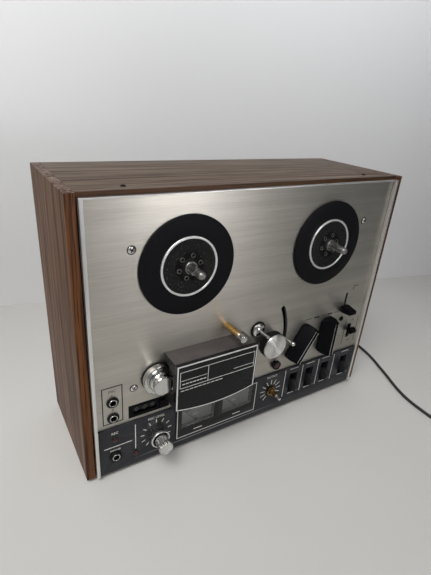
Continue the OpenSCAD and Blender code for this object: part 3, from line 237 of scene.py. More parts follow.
lead_rubber = dull_finish(
    "lead_rubber", (0.012, 0.012, 0.013), (0.026, 0.026, 0.028), 0.07, 40, (0.45, 0.62))
MM = 0.001
LEAD_R = 2.1
route = [(150, 118, 40), (150, 128, 40), (151, 141, 36), (154, 154, 27), (160, 167, 15.5), (170, 178, 6.5)]
route += [(x, y, LEAD_R) for x, y in [
    (184, 185), (202, 187), (222, 182), (241, 171), (257, 156), (270, 137), (279, 115), (285, 91), (288, 65),
    (289, 38), (288, 7), (284.5, -12), (279, -30.5), (270, -52.5), (260, -76), (249.5, -99), (243, -117),
    (240, -130), (238.5, -142), (237.8, -154), (237.5, -166), (237.5, -188), (237.5, -210)]]
COIL_TURNS = 6.5
COIL_STEP = 4.8
COIL_CORE = 21.8
TURN_POINTS = 24


def coil_radius(turn):
    """The wound lead's distance from the middle of its coil, least half way along."""
    return COIL_CORE + COIL_STEP * math.hypot(turn - COIL_TURNS / 2, 0.1)


coil_middle = Vector((route[-1][0] + coil_radius(0), route[-1][1] - 2 * LEAD_R, LEAD_R))


def coil_point(turn):
    """A point of the wound lead: in on the lower layer, out again on the upper one."""
    climb = min(max(2 * (turn - COIL_TURNS / 2) + 0.5, 0), 1)
    angle = math.pi * (1 + 2 * turn)
    r = coil_radius(turn)
    lift = COIL_STEP * climb * climb * (3 - 2 * climb)
    return coil_middle + Vector((r * math.cos(angle), r * math.sin(angle), lift))


lead_path = [Vector(p) for p in route]
lead_path += [coil_point(i / TURN_POINTS) for i in range(int(COIL_TURNS * TURN_POINTS) + 1)]
lead_path.append(lead_path[-1] + Vector((0, 2 * LEAD_R, 0)))
lead_curve = bpy.data.curves.new("mains_lead", "CURVE")
lead_curve.dimensions = "3D"
lead_curve.bevel_depth = LEAD_R * MM
lead_curve.bevel_resolution = 4
lead_curve.resolution_u = 5
lead_curve.use_fill_caps = True
strand = lead_curve.splines.new("BEZIER")
strand.bezier_points.add(len(lead_path) - 1)
for knot, p in zip(strand.bezier_points, lead_path):
    knot.co = p * MM
    knot.handle_left_type = knot.handle_right_type = "AUTO"
lead_curve.materials.append(lead_rubber)
lead = bpy.data.objects.new("mains_lead", lead_curve)
scene.collection.objects.link(lead)
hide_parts("power_cord", "cord_coil")
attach(lead, "case")
MERGE, SMOOTH, TOP_BAND = 1e-6, 32, 0.5


def mode(kind):
    """Opens the active piece for editing, or closes it."""
    bpy.ops.object.mode_set(mode=kind)


def turned(name, rings, sides=64, sharp=SMOOTH, closed=True):
    """A piece turned on a lathe: a ring of (radius, height) is drawn out step by step along Z, in mm."""
    pick()
    radius, height = rings[0]
    bpy.ops.mesh.primitive_circle_add(
        vertices=sides, radius=radius * MM, fill_type="NGON" if closed else "NOTHING",
        location=(0, 0, height * MM))
    piece = bpy.context.object
    piece.name = name
    bpy.ops.object.transform_apply()
    mode("EDIT")
    bpy.ops.mesh.select_mode(type="EDGE")
    bpy.ops.mesh.select_all(action="SELECT")
    for next_radius, next_height in rings[1:]:
        bpy.ops.mesh.extrude_edges_move(
            TRANSFORM_OT_translate={"value": (0, 0, (next_height - height) * MM)})
        grow = next_radius / radius
        bpy.ops.transform.resize(value=(grow, grow, 1), center_override=(0, 0, next_height * MM))
        radius, height = next_radius, next_height
    if closed:
        bpy.ops.mesh.edge_face_add()
    else:
        bpy.ops.mesh.select_all(action="SELECT")
        bpy.ops.mesh.remove_doubles(threshold=MERGE)
    bpy.ops.mesh.select_all(action="SELECT")
    bpy.ops.mesh.normals_make_consistent(inside=False)
    mode("OBJECT")
    bpy.ops.object.shade_smooth_by_angle(angle=math.radians(sharp))
    return piece


def settle(piece, place, turn=(0, 0, 0)):
    """Turns a piece, moves it to its place in mm, and leaves its object at the origin."""
    pick(piece)
    piece.rotation_euler = [math.radians(a) for a in turn]
    piece.location = Vector(place) * MM
    bpy.ops.object.transform_apply()
    return piece


def wear(piece, material):
    """Gives a piece its material."""
    piece.data.materials.clear()
    piece.data.materials.append(material)


def belongs(piece, material, body, slot, *stands_for):
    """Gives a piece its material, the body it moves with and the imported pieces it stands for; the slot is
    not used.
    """
    wear(piece, material)
    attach(piece, body)
    if stands_for:
        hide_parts(*stands_for)
    return piece


RIBS, RIB_PITCH, RIB_TAPER = 9, 3.7, 0.21
relief_rings = [(6.4, -6), (6.4, -3.1), (5, -3), (5, 0), (7.2, 0), (7.5, 0.4), (7.5, 2.1), (7.1, 2.5)]
for i in range(RIBS):
    thick = 5.3 - RIB_TAPER * i
    start = 3.2 + RIB_PITCH * i
    relief_rings += [(thick - 0.5, start), (thick, start + 0.4), (thick - 0.05, start + 2.4)]
relief_rings += [(3.3, 36.9), (3.3, 37.6), (2.9, 38)]
strain_relief = settle(turned("strain_relief", relief_rings, 40), (150, 80, 40), (-90, 0, 0))
belongs(strain_relief, lead_rubber, "case", "rubber_black", "cord_gland")


def eased_copy(node, name, width, segments=2, angle=40, trimmed=0.0):
    """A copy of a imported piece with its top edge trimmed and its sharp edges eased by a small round."""
    piece = bpy.data.objects.new(name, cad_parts[node].data.copy())
    scene.collection.objects.link(piece)
    pick(piece)
    mode("EDIT")
    bpy.ops.mesh.select_all(action="SELECT")
    bpy.ops.mesh.remove_doubles(threshold=MERGE)
    if width:
        bpy.ops.mesh.dissolve_limited(angle_limit=math.radians(0.5))
    mode("OBJECT")
    top = max(v.co.z for v in piece.data.vertices)
    for v in piece.data.vertices:
        if v.co.z > top - TOP_BAND * MM:
            v.co.z -= trimmed * MM
    if not width:
        bpy.ops.mesh.customdata_custom_splitnormals_clear()
        bpy.ops.object.shade_flat()
        return piece
    ease = piece.modifiers.new("ease", "BEVEL")
    ease.width = width * MM
    ease.segments = segments
    ease.limit_method = "ANGLE"
    ease.angle_limit = math.radians(angle)
    bpy.ops.object.modifier_apply(modifier="ease")
    bpy.ops.object.shade_smooth_by_angle(angle=math.radians(SMOOTH))
    return piece


plug_shell, tree, shader = new_material("plug_shell", 0.45)
smudge = use_effect(tree, handling, Size=70.0)["Smudge"]
PLUG_NECK, PLUG_BODY = 22, 36
PLUG_FACE = (coil_point(COIL_TURNS).y + 2 * LEAD_R + PLUG_NECK + PLUG_BODY) * MM
depth = along_axis(tree, "TexCoord", "Object", "Y")
on_pins = maths(tree, "GREATER_THAN", depth, PLUG_FACE + 0.0004)
shell_tone = mix_colours(tree, smudge, (0.012, 0.012, 0.013), (0.028, 0.028, 0.03))
feed(tree, shader, {
    "Base Color": mix_colours(tree, on_pins, shell_tone, (0.72, 0.69, 0.62)), "Metallic": on_pins,
    "Roughness": spread(tree, smudge, 0.3, 0.7, 0.32, 0.5)})
plug = eased_copy("mains_plug", "two_pin_plug", 1.2, 3)
belongs(plug, plug_shell, "case", "plastic_black", "mains_plug")


def block(size, place, turn=(0, 0, 0), ease=0.0):
    """A box at its size and place in mm, with its edges eased."""
    pick()
    bpy.ops.mesh.primitive_cube_add(size=1)
    piece = bpy.context.object
    piece.scale = [s * MM for s in size]
    bpy.ops.object.transform_apply()
    if ease:
        mode("EDIT")
        bpy.ops.mesh.select_all(action="SELECT")
        bpy.ops.mesh.bevel(offset=ease * MM, segments=2, affect="EDGES")
        mode("OBJECT")
    return settle(piece, place, turn)


tie_white = dull_finish(
    "tie_white", (0.55, 0.55, 0.53), (0.66, 0.66, 0.64), (0.4, 0.4, 0.38), 80, (0.4, 0.55))
TIE_SIZE, TIE_WALL, TIE_OFF = (5, 21.2, 10.2), 0.7, 29.6
tie = block(TIE_SIZE, (0, 0, 0))
tie.name = "lead_tie"
mode("EDIT")
bpy.ops.mesh.select_mode(type="FACE")
bpy.ops.mesh.select_all(action="DESELECT")
mode("OBJECT")
for face in tie.data.polygons:
    face.select = abs(face.normal.x) > 0.9
mode("EDIT")
bpy.ops.mesh.inset(thickness=TIE_WALL * MM, use_individual=True)
bpy.ops.mesh.bridge_edge_loops()
mode("OBJECT")
settle(tie, (coil_middle.x, coil_middle.y - TIE_OFF, TIE_SIZE[2] / 2))
soften = tie.modifiers.new("soften", "BEVEL")
soften.width = 0.25 * MM
soften.segments = 2
bpy.ops.object.modifier_apply(modifier="soften")
belongs(tie, tie_white, "case", "plastic_black")

# WOODEN CASE
# A top and a bottom board stand between two side boards. All are chipboard under walnut veneer with
# the grain along each board; the front edges carry a darker, redder lipping of solid wood.


def drawn_noise(name, roughness, layers):
    """A shared effect: layers of noise (label, scale, detail, bend) drawn out along a direction."""
    group, given, result = new_effect(
        name, [("Stretch", "NodeSocketVector", (1, 1, 1))], [layer[0] for layer in layers])
    place = add_node(group, "TexCoord").outputs["Object"]
    drawn = add_node(group, "VectorMath", {0: place, 1: given.outputs[0]}, operation="MULTIPLY")
    for label, scale, detail, bend in layers:
        noise = add_node(group, "TexNoise", {
            "Vector": drawn.outputs[0], "Scale": scale, "Detail": detail, "Roughness": roughness,
            "Distortion": bend})
        feed(group, result, {label: noise.outputs["Fac"]})
    return group


grain = drawn_noise(
    "wood_grain", 0.62, [("Tone", 1.0, 7.0, 0.5), ("Pores", 3.0, 3.0, 0.1), ("Figure", 0.15, 2.0, 1.2)])


def walnut(name, stretch, front, sheen, dark, light, end, lip):
    """Veneer with its grain along a board, lipping in front of a plane, and some other wood on top."""
    material, tree, shader = new_material(name, 0.5, Specular_IOR_Level=sheen)
    wood = use_effect(tree, grain, Stretch=stretch)
    tone = spread(tree, wood["Tone"], 0.36, 0.64, 0.0, 1.0)
    shade = spread(tree, wood["Figure"], 0.35, 0.65, 0.0, 0.4)
    veneer = mix_colours(tree, shade, mix_colours(tree, tone, dark, light), dark)
    on_top = maths(tree, "GREATER_THAN", along_axis(tree, "NewGeometry", "Normal", "Z"), 0.7)
    veneer = mix_colours(tree, on_top, veneer, mix_colours(tree, tone, dark, end))
    edge = maths(tree, "LESS_THAN", along_axis(tree, "TexCoord", "Object", "Y"), front)
    colour = mix_colours(tree, edge, veneer, mix_colours(tree, tone, dark, lip))
    pores = spread(tree, wood["Pores"], 0.5, 0.63, 0.0, 0.85)
    feed(tree, shader, {
        "Base Color": mix_colours(tree, pores, colour, (0.025, 0.012, 0.007)),
        "Roughness": spread(tree, wood["Tone"], 0.3, 0.7, 0.62, 0.46),
        "Normal": raised(tree, wood["Pores"], 0.25, 0.0003)})
    return material


FRONT = -53.0
upright_walnut = walnut(
    "upright_walnut", (230, 230, 5), (FRONT + 0.5) * MM, 0.15,
    (0.056, 0.024, 0.012), (0.255, 0.145, 0.086), (0.27, 0.19, 0.155), (0.175, 0.066, 0.022))
level_walnut = walnut(
    "level_walnut", (5, 230, 230), (FRONT + 3.2) * MM, 0.2,
    (0.052, 0.031, 0.019), (0.186, 0.133, 0.094), (0.186, 0.133, 0.094), (0.085, 0.036, 0.015))
for node, wood in [("side_board_left", upright_walnut), ("side_board_right", upright_walnut),
                   ("top_board", level_walnut), ("bottom_board", level_walnut)]:
    belongs(eased_copy(node, node + "_veneered", 0.6), wood, "case", "walnut", node)


def joined(name, pieces):
    """Several objects joined into one piece."""
    pick(*pieces[1:], pieces[0])
    bpy.ops.object.join()
    pieces[0].name = name
    bpy.ops.object.transform_apply()
    return pieces[0]


# Near-black strips over the joints of the top and side boards are painted shade of the gaps between them.
joint_painted_shade = dull_finish(
    "joint_painted_shade", (0.008, 0.005, 0.004), (0.018, 0.012, 0.008), (0.05, 0.04, 0.03), 90, (0.6, 0.75))
JOINT_X, JOINT_Y, JOINT_TOP = 193.5, 18.25, 308.8
JOINT_W, JOINT_LONG, JOINT_DEEP = 0.9, 137.2, 0.6
joints = [block((JOINT_W, JOINT_LONG, JOINT_DEEP), (x, JOINT_Y, JOINT_TOP - JOINT_DEEP / 2))
          for x in (-JOINT_X, JOINT_X)]
belongs(joined("board_joints", joints), joint_painted_shade, "case", "walnut")

# FEET, REAR PANEL AND INSIDE
# Rubber feet are screwed under the case, and a painted hardboard panel with vents closes its back.
# Behind the deck sit plated steel parts, the motor, the belt and the amplifier.
streaks = drawn_noise("brush_marks", 0.6, [("Fine", 1.0, 4.0, 0.0), ("Broad", 0.06, 3.0, 0.0)])


def bare_metal(name, dark, light, stretch, rough, bump=0.1, **plain):
    """Metal with brush or lathe marks drawn out along the stretched direction, and hand marks on it."""
    material, tree, shader = new_material(name, rough[0], 1.0, **plain)
    strokes = use_effect(tree, streaks, Stretch=stretch)
    smudge = use_effect(tree, handling, Size=25.0)["Smudge"]
    tone = spread(tree, maths(tree, "ADD", strokes["Fine"], strokes["Broad"]), 0.7, 1.3, 0.0, 1.0)
    feed(tree, shader, {
        "Base Color": mix_colours(tree, tone, dark, light),
        "Roughness": spread(tree, maths(tree, "ADD", strokes["Fine"], smudge), 0.7, 1.3, *rough),
        "Normal": raised(tree, strokes["Fine"], bump, 0.00005)})
    return material


def dress(material, *nodes):
    """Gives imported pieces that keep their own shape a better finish."""
    for node in nodes:
        wear(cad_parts[node], material)


foot_rubber = dull_finish("foot_rubber", (0.015, 0.015, 0.016), 0.03, 0.09, 60, (0.6, 0.75), 0.2)
rear_paint = dull_finish(
    "rear_paint", (0.022, 0.018, 0.015), (0.036, 0.030, 0.026), (0.10, 0.09, 0.08), 30, (0.5, 0.7), 0.3)
zinc_steel = bare_metal("zinc_steel", (0.36, 0.37, 0.38), (0.56, 0.57, 0.58), (300, 40, 300), (0.35, 0.5))
dark_steel = bare_metal("dark_steel", 0.10, (0.22, 0.22, 0.215), (200, 200, 200), (0.25, 0.4))
circuit_lacquer = dull_finish(
    "circuit_lacquer", (0.10, 0.085, 0.05), (0.16, 0.14, 0.09), (0.3, 0.3, 0.28), 90, (0.4, 0.6))
belt_rubber = dull_finish("belt_rubber", 0.012, 0.02, 0.05, 80, (0.55, 0.7))
dress(foot_rubber, "feet")
dress(rear_paint, "rear_panel")
dress(zinc_steel, "chassis", "pinch_arm", "motor", "head_block", "capstan")
dress(dark_steel, "shutoff_arm")
dress(circuit_lacquer, "electronics")
dress(belt_rubber, "drive_belt")

# DECK PLATE AND FRAME
# The deck is a sheet of aluminium brushed from side to side, warm grey with age. A bright extruded frame
# runs round it and the control panel, with a narrower bar along the top under the edge of the top board.
deck_brushed = bare_metal(
    "deck_brushed", (0.485, 0.46, 0.411), (0.635, 0.61, 0.551), (36, 1400, 1400), (0.36, 0.5), 0.25,
    Anisotropic=0.8, Anisotropic_Rotation=0.25)
frame_bright = bare_metal(
    "frame_bright", (0.74, 0.74, 0.73), (0.88, 0.88, 0.87), (20, 900, 20), (0.28, 0.4), 0.05)
deck = eased_copy("deck_plate", "deck_sheet", 0.0, trimmed=2.7)
belongs(deck, deck_brushed, "case", "deck_aluminium", "deck_plate")
trim = eased_copy("trim_frame", "bright_frame", 0.5, 3, trimmed=2.3)
belongs(trim, frame_bright, "case", "trim_bright", "trim_frame")

# SCREWS
# Cross-head screws with low domed heads hold the boards and plates. Those in the deck and the rear panel
# are plated steel; the two in the top board and the one beside the play lever are blackened.
FOOT = 4.0
DECK = -0.5
OUTWARD = (90, 0, 0)


def at(x, z, out=0.0):
    """A place on the front: x from the middle, z above the case's bottom, out in front of the boards."""
    return Vector((x, FRONT - out, FOOT + z))


def fronted(name, rings, place, sides=64, sharp=SMOOTH, closed=True):
    """A turned piece at a place on the front, with its axis straight out."""
    return settle(turned(name, rings, sides, sharp, closed), place, OUTWARD)


def copied(piece):
    """A copy of a piece with its own mesh."""
    twin = bpy.data.objects.new(piece.name + "_copy", piece.data.copy())
    scene.collection.objects.link(twin)
    return twin


screw_steel = bare_metal("screw_steel", (0.62, 0.61, 0.59), (0.82, 0.81, 0.79), (500, 500, 500), (0.12, 0.24))
screw_black = bare_metal(
    "screw_black", (0.012, 0.011, 0.010), (0.03, 0.028, 0.026), (500, 500, 500), (0.4, 0.55))
screw_model = turned("screw", [
    (1.5, -6), (1.5, 0), (3.4, 0), (3.6, 0.2), (3.55, 0.6), (3.0, 1.15), (1.9, 1.5), (0.8, 1.6)], 24)
for bar in (block((4.6, 1.0, 2.2), (0, 0, 1.5)), block((1.0, 4.6, 2.2), (0, 0, 1.5))):
    pick(screw_model)
    recess = screw_model.modifiers.new("recess", "BOOLEAN")
    recess.object = bar
    recess.operation = "DIFFERENCE"
    bpy.ops.object.modifier_apply(modifier="recess")
    bpy.data.objects.remove(bar)
CROSS_LEAN, TOP_SCREW = 25, 0.72
deck_spots = [at(x, z, DECK) for x, z in [(-149.2, 253), (149.2, 253), (-149.2, 103.6)]]
rear_spots = [(x, 80, FOOT + 152.5 + z) for x in (-185.5, 0, 185.5) for z in (-137.5, 137.5)]
screws = [settle(copied(screw_model), spot, (90, CROSS_LEAN, 0)) for spot in deck_spots]
screws += [settle(copied(screw_model), spot, (-90, CROSS_LEAN, 0)) for spot in rear_spots]
black_screws = [settle(copied(screw_model), at(148.6, 115.7, DECK), OUTWARD)]
for x in (-150, 150):
    small_screw = copied(screw_model)
    small_screw.scale = [TOP_SCREW] * 3
    black_screws.append(settle(small_screw, at(x, 305, -16)))
bpy.data.objects.remove(screw_model)
# Near-black rings round the deck screws, and crosses sunk in their recesses, are painted shade of the
# countersinks and cross recesses.
recess_shades = [fronted("seat", [(3.3, 0), (4.4, 0), (4.4, 0.12), (3.3, 0.12)], spot, 32) for spot in deck_spots]
for spot in deck_spots:
    for size in ((4.4, 0.5, 0.9), (0.9, 0.5, 4.4)):
        recess_shades.append(block(size, spot - Vector((0, 0.95, 0)), (0, CROSS_LEAN, 0)))
belongs(joined("screw_recess_shades", recess_shades), screw_black, "case", "chassis_steel")
belongs(joined("black_screws", black_screws), screw_black, "case", "chassis_steel")
belongs(joined("cross_head_screws", screws), screw_steel, "case", "chassis_steel", "screws")

# REEL TABLES
# Each table is a black rubber-faced disc with a raised middle inside a thin bright ring. Six screws sit
# round the spindle, which is turned from steel, with three keys that drive the reel.
reel_rubber = dull_finish(
    "reel_rubber", (0.003, 0.003, 0.004), (0.006, 0.006, 0.008), (0.03, 0.03, 0.034), 45, (0.5, 0.68), 0.15,
    sheen=0.12)
hub_black = dull_finish(
    "hub_black", (0.002, 0.002, 0.003), (0.022, 0.021, 0.021), (0.24, 0.23, 0.22), 26, (0.4, 0.6), 0.3,
    sheen=0.12)
well_black = dull_finish("well_black", 0.003, 0.006, (0.2, 0.19, 0.18), 30, (0.5, 0.7), sheen=0.1)
bright_ring = bare_metal(
    "bright_ring", (0.86, 0.86, 0.85), (0.96, 0.96, 0.95), (60, 60, 60), (0.42, 0.52), 0.02)
spindle_steel = bare_metal(
    "spindle_steel", (0.22, 0.22, 0.21), (0.36, 0.355, 0.34), (60, 900, 60), (0.36, 0.5), 0.1)
REEL_X, REEL_Z = 92.5, 230.0
HUB_SCREW_R, KEY_R, KEY_OUT = 11.7, 3.3, 11.2
for side, x in [("left", -REEL_X), ("right", REEL_X)]:
    body = "reel_" + side
    middle = at(x, REEL_Z)
    disc = fronted("reel_disc_" + side, [
        (12, 0), (50.3, 0), (50.6, 0.3), (50.6, 1.7), (50.4, 2.1), (49.9, 2.4), (31.2, 2.4), (30.9, 2.3),
        (12, 2.3)], middle, 96)
    belongs(disc, reel_rubber, body, "plastic_black")
    rim = fronted("reel_rim_" + side, [
        (50.3, -0.1), (50.8, -0.1), (51, 0.1), (51, 1.5), (50.8, 1.7), (50.3, 1.7), (50.3, -0.1)],
        middle, 96, closed=False)
    belongs(rim, reel_rubber, body, "knob_aluminium")
    hub = fronted("reel_hub_" + side, [
        (5, -33), (7, -33), (7, -30), (5, -30), (5, 0), (12, 0), (12, 2.35), (28.2, 2.35), (28.2, 3.1),
        (28, 3.2), (27.8, 3.2), (27.6, 3.05), (17.2, 3.05), (16.8, 2.7), (16.4, 2.62), (15.4, 2.62),
        (15.2, 2.9), (8.6, 2.9), (8.3, 3.6), (7.9, 3.85), (5, 3.85)], middle, 72)
    belongs(hub, hub_black, body, "plastic_black", "reel_table_" + side)
    ring = fronted("reel_ring_" + side, [
        (28.3, 2.4), (30.6, 2.4), (30.6, 3.4), (30.3, 3.8), (29.4, 3.88), (28.6, 3.8), (28.3, 3.4),
        (28.3, 2.4)], middle, 96, closed=False)
    belongs(ring, bright_ring, body, "chrome")
    well = fronted("reel_well_" + side, [(8.4, 2.5), (15.2, 2.5), (15.2, 2.98), (8.4, 2.98)], middle)
    belongs(well, well_black, body, "plastic_black")
    heads, pits = [], []
    for i in range(6):
        angle = math.radians(60 * i + 15)
        spot = at(x + HUB_SCREW_R * math.cos(angle), REEL_Z + HUB_SCREW_R * math.sin(angle))
        rings = [(2.5, 2.6), (2.5, 3.3), (2.3, 3.5), (1.8, 3.5), (1.6, 3.0)]
        heads.append(fronted("hub_screw", rings, spot, 20))
        pits.append(fronted("hub_pit", [(1.55, 2.9), (1.55, 3.1), (1.2, 3.15)], spot, 16))
    belongs(joined("hub_screws_" + side, heads), dark_steel, body, "chassis_steel")
    belongs(joined("hub_pits_" + side, pits), well_black, body, "chassis_steel")
    shaft = fronted("spindle_post", [
        (6.3, 3.9), (6.5, 4.1), (6.5, 6.2), (6.1, 6.7), (3.7, 6.7), (3.7, 16), (4, 16.5), (4, 18.4),
        (3.6, 18.7), (3.6, 19.8), (4, 20.1), (4, 26.6), (3.6, 27.4), (2.9, 28.4), (1.8, 28.9), (0.6, 29)],
        middle, 40)
    keys = []
    for lean in (90, 210, 330):
        turn = math.radians(lean)
        spot = at(x + KEY_R * math.cos(turn), REEL_Z + KEY_R * math.sin(turn), KEY_OUT)
        keys.append(block((4, 3, 9), spot, (90, -lean, 0), 0.4))
    post = joined("reel_spindle_" + side, [shaft] + keys)
    belongs(post, spindle_steel, body, "knob_aluminium", "spindle_" + side)

# TAPE GUIDE ROLLER
# A chromed brass roller turns on a fixed axle: a wide flange over a black base ring, a smooth drum that
# carries the tape, and a cap with flat facets to grip it by.
chrome = bare_metal("chrome", (0.56, 0.555, 0.54), (0.76, 0.755, 0.74), (80, 80, 80), (0.09, 0.18), 0.02)
base_black = dull_finish(
    "base_black", (0.003, 0.003, 0.004), (0.007, 0.007, 0.008), 0.04, 90, (0.4, 0.55), sheen=0.2)
ROLLER = at(-123.6, 110.3)
base_ring = fronted("roller_base", [
    (9, -0.1), (17.3, -0.1), (17.5, 0.1), (17.5, 0.9), (17.2, 1.2), (9, 1.2)], ROLLER, 72)
belongs(base_ring, base_black, "guide_roller", "plastic_black")
flange = fronted("roller_flange", [
    (10, 1.1), (16.4, 1.1), (16.9, 1.5), (17, 2.2), (17, 6.9), (16.8, 7.6), (16.2, 8), (12.6, 8),
    (12.2, 7.8), (10.6, 6.6), (11, 6.5), (11.6, 7.4), (12, 9), (12, 11.9), (11.6, 12.5), (9.6, 13.1),
    (8.6, 13.3)], ROLLER, 72)
grip = fronted("roller_grip", [
    (9.4, 13.2), (10.6, 13.7), (11, 14.2), (11, 17.3), (10.6, 18), (9.8, 18.4), (8.9, 18.3), (1, 18.2)],
    ROLLER, 20, 12)
belongs(joined("tape_guide_roller", [flange, grip]), chrome, "guide_roller", "chrome", "guide_roller")

# HEAD COVER
# A pressed steel hood in near-black paint hides the heads; its upward faces are grey-brown with settled dust
# and painted light from above. Its front has a glossy black edge, and carries a white plate under a black
# one, so that a white line runs round it; the lower edge bows over the tape path.
# The last colour is the grey-brown top: settled dust and painted light from above.
hood_paint = dull_finish(
    "hood_paint", 0.006, (0.013, 0.012, 0.012), (0.10, 0.09, 0.085), 35, (0.42, 0.58), 0.1,
    (0.086, 0.076, 0.075), sheen=0.25)
hood_gloss = dull_finish(
    "hood_gloss", (0.005, 0.005, 0.006), (0.010, 0.010, 0.011), 0.04, 35, (0.22, 0.36), sheen=0.18)
ink_white = dull_finish(
    "ink_white", (0.66, 0.66, 0.64), (0.78, 0.78, 0.76), (0.45, 0.45, 0.44), 60, (0.4, 0.55))
hood = eased_copy("head_cover", "head_hood", 0.7, 3)
belongs(hood, hood_paint, "case", "panel_black", "head_cover")
HOOD_LEFT, HOOD_W, HOOD_Z, HOOD_H, HOOD_BOW, HOOD_OUT = -115.6, 99.0, 82.0, 55.5, 6.0, 28.3
HOOD_PLATE = 0.45


def bowed_plate(name, margin, thick, behind=0.0):
    """A flat plate on the hood's front with its outline, drawn in by a margin."""
    pick()
    bpy.ops.mesh.primitive_grid_add(x_subdivisions=28, y_subdivisions=1, size=1)
    plate = bpy.context.object
    plate.name = name
    bow_r = (HOOD_W ** 2 / 4 + HOOD_BOW ** 2) / (2 * HOOD_BOW)
    for v in plate.data.vertices:
        x = v.co.x * (HOOD_W - 2 * margin)
        drop = HOOD_BOW - bow_r + math.sqrt(bow_r ** 2 - x ** 2)
        v.co = Vector((x, HOOD_H - margin if v.co.y > 0 else margin - drop, 0)) * MM
    mode("EDIT")
    bpy.ops.mesh.select_all(action="SELECT")
    bpy.ops.mesh.extrude_region_move(TRANSFORM_OT_translate={"value": (0, 0, thick * MM)})
    bpy.ops.mesh.select_all(action="SELECT")
    bpy.ops.mesh.normals_make_consistent(inside=False)
    mode("OBJECT")
    return settle(plate, at(HOOD_LEFT + HOOD_W / 2, HOOD_Z, HOOD_OUT + behind), OUTWARD)


belongs(bowed_plate("hood_edge", -0.15, 4.0, -3.95), hood_gloss, "case", "plastic_black")
belongs(bowed_plate("hood_border", 0.6, 0.25), ink_white, "case", "needle_white")
belongs(bowed_plate("hood_front", 2.1, HOOD_PLATE), hood_gloss, "case", "plastic_black")


def printed(name, bars, out, ink, body="case", slot="needle_white", thick=0.08):
    """Printed rules: flat bars of ink (x, z, width, height, angle) on a plate, in one piece."""
    strips = []
    for x, z, w, h, *angle in bars:
        strips.append(block((w, thick, h), at(x, z, out + thick / 2), (0, angle[0] if angle else 0, 0)))
    return belongs(joined(name, strips), ink, body, slot)


def outline(x0, x1, z0, z1, line):
    """Four bars that make a rectangle."""
    mid_x, mid_z = (x0 + x1) / 2, (z0 + z1) / 2
    return [(mid_x, z0, x1 - x0 + line, line), (mid_x, z1, x1 - x0 + line, line),
            (x0, mid_z, line, z1 - z0 - line), (x1, mid_z, line, z1 - z0 - line)]


hood_rules = outline(-111.5, -20.7, 110, 129.4, 0.6) + [(-79.2, 119.7, 0.6, 19), (-95.4, 119, 30, 0.5)]
hood_rules += [(-107.5 + 4.1 * i, 114.5, 3.2, 1.1) for i in range(7)] + [(-34, 114.8, 26, 0.5)]
hood_rules += [(-108.5 + 5.1 * i, 106.4, 4.2, 0.8) for i in range(10)]
printed("hood_rules", hood_rules, HOOD_OUT + HOOD_PLATE, ink_white)

# CAPSTAN, PINCH ROLLER AND SLEEVE POST
# The steel capstan stands in a chromed bearing over a black washer. A rubber pinch roller with a domed
# metal cap swings against it, and a brass sleeve for the other speed waits on a post under a screw cap.
rubber_tyre = dull_finish("rubber_tyre", 0.003, 0.007, 0.03, 70, (0.5, 0.65), sheen=0.15)
cap_silver = bare_metal(
    "cap_silver", (0.46, 0.455, 0.44), (0.66, 0.655, 0.64), (45, 45, 45), (0.14, 0.26), 0.05)
sleeve_brass = bare_metal(
    "sleeve_brass", (0.42, 0.25, 0.08), (0.80, 0.57, 0.26), (60, 400, 60), (0.06, 0.15), 0.03)
CAPSTAN = at(4, 135)
washer = fronted("capstan_washer", [
    (6, -11), (6, -0.5), (10, -0.5), (10.3, -0.3), (10.3, 0.3), (9.9, 0.6), (8, 0.6)],
    CAPSTAN, 56, closed=False)
belongs(washer, base_black, "case", "plastic_black")
dome = fronted("capstan_bearing", [
    (1.8, -11), (5.9, -11), (5.9, 0.4), (8.2, 0.4), (8.5, 0.7), (8.5, 1.9), (8.2, 2.7), (7.2, 3.4),
    (5.5, 3.9), (4.4, 4.0), (4.0, 4.6), (3.0, 4.7), (1.8, 4.7), (1.8, -11)], CAPSTAN, closed=False)
belongs(dome, chrome, "case", "chrome", "capstan_housing")
PINCH = at(20.062, 116.125)
tyre = fronted("pinch_tyre", [
    (2.55, 6), (15.6, 6), (16.3, 6.3), (16.5, 7), (16.5, 14), (16.3, 14.7), (15.7, 15), (2.55, 15),
    (2.55, 6)], PINCH, 72, closed=False)
belongs(tyre, rubber_tyre, "pinch_roller", "rubber_black")
CAP_R, CAP_TOP, CAP_DROP, GROOVES, GROOVE, RIDGE = 14.2, 17.93, 0.45, 23, 0.6, 0.06
cap_rings = [(15.5, 15.05), (15.9, 15.2), (15.95, 16.2), (15.6, 16.9)]
for i in range(GROOVES):
    r = CAP_R - GROOVE * i
    cap_rings.append((r, CAP_TOP - CAP_DROP * (r / CAP_R) ** 3 + RIDGE * (-1) ** i))
cap = fronted("pinch_cap", cap_rings, PINCH, 96, 4.5)
cap_lathed, tree, shader = new_material("cap_lathed", 0.4, 1.0, Anisotropic=0.96, Anisotropic_Rotation=0.25)
place = add_node(tree, "TexCoord").outputs["Object"]
centred = add_node(tree, "VectorMath", {0: place, 1: PINCH * MM}, operation="SUBTRACT")
wave = add_node(
    tree, "TexWave", {
        "Vector": centred.outputs[0], "Scale": 170.0, "Distortion": 1.2, "Detail": 3.0, "Detail Scale": 2.5},
    wave_type="RINGS", rings_direction="Y")
tool_marks = wave.outputs["Fac"]
both = maths(tree, "ADD", tool_marks, use_effect(tree, handling, Size=140.0)["Smudge"])
tone = spread(tree, both, 0.4, 1.4, 0.0, 1.0)
round_marks = add_node(tree, "Tangent", direction_type="RADIAL", axis="Y")
feed(tree, shader, {
    "Base Color": mix_colours(tree, tone, (0.62, 0.61, 0.585), (0.97, 0.965, 0.94)),
    "Roughness": spread(tree, both, 0.5, 1.4, 0.48, 0.36),
    "Normal": raised(tree, tool_marks, 0.3, 0.00005), "Tangent": round_marks.outputs[0]})
belongs(cap, cap_lathed, "pinch_roller", "chrome", "pinch_roller")
POST = at(-41, 152)
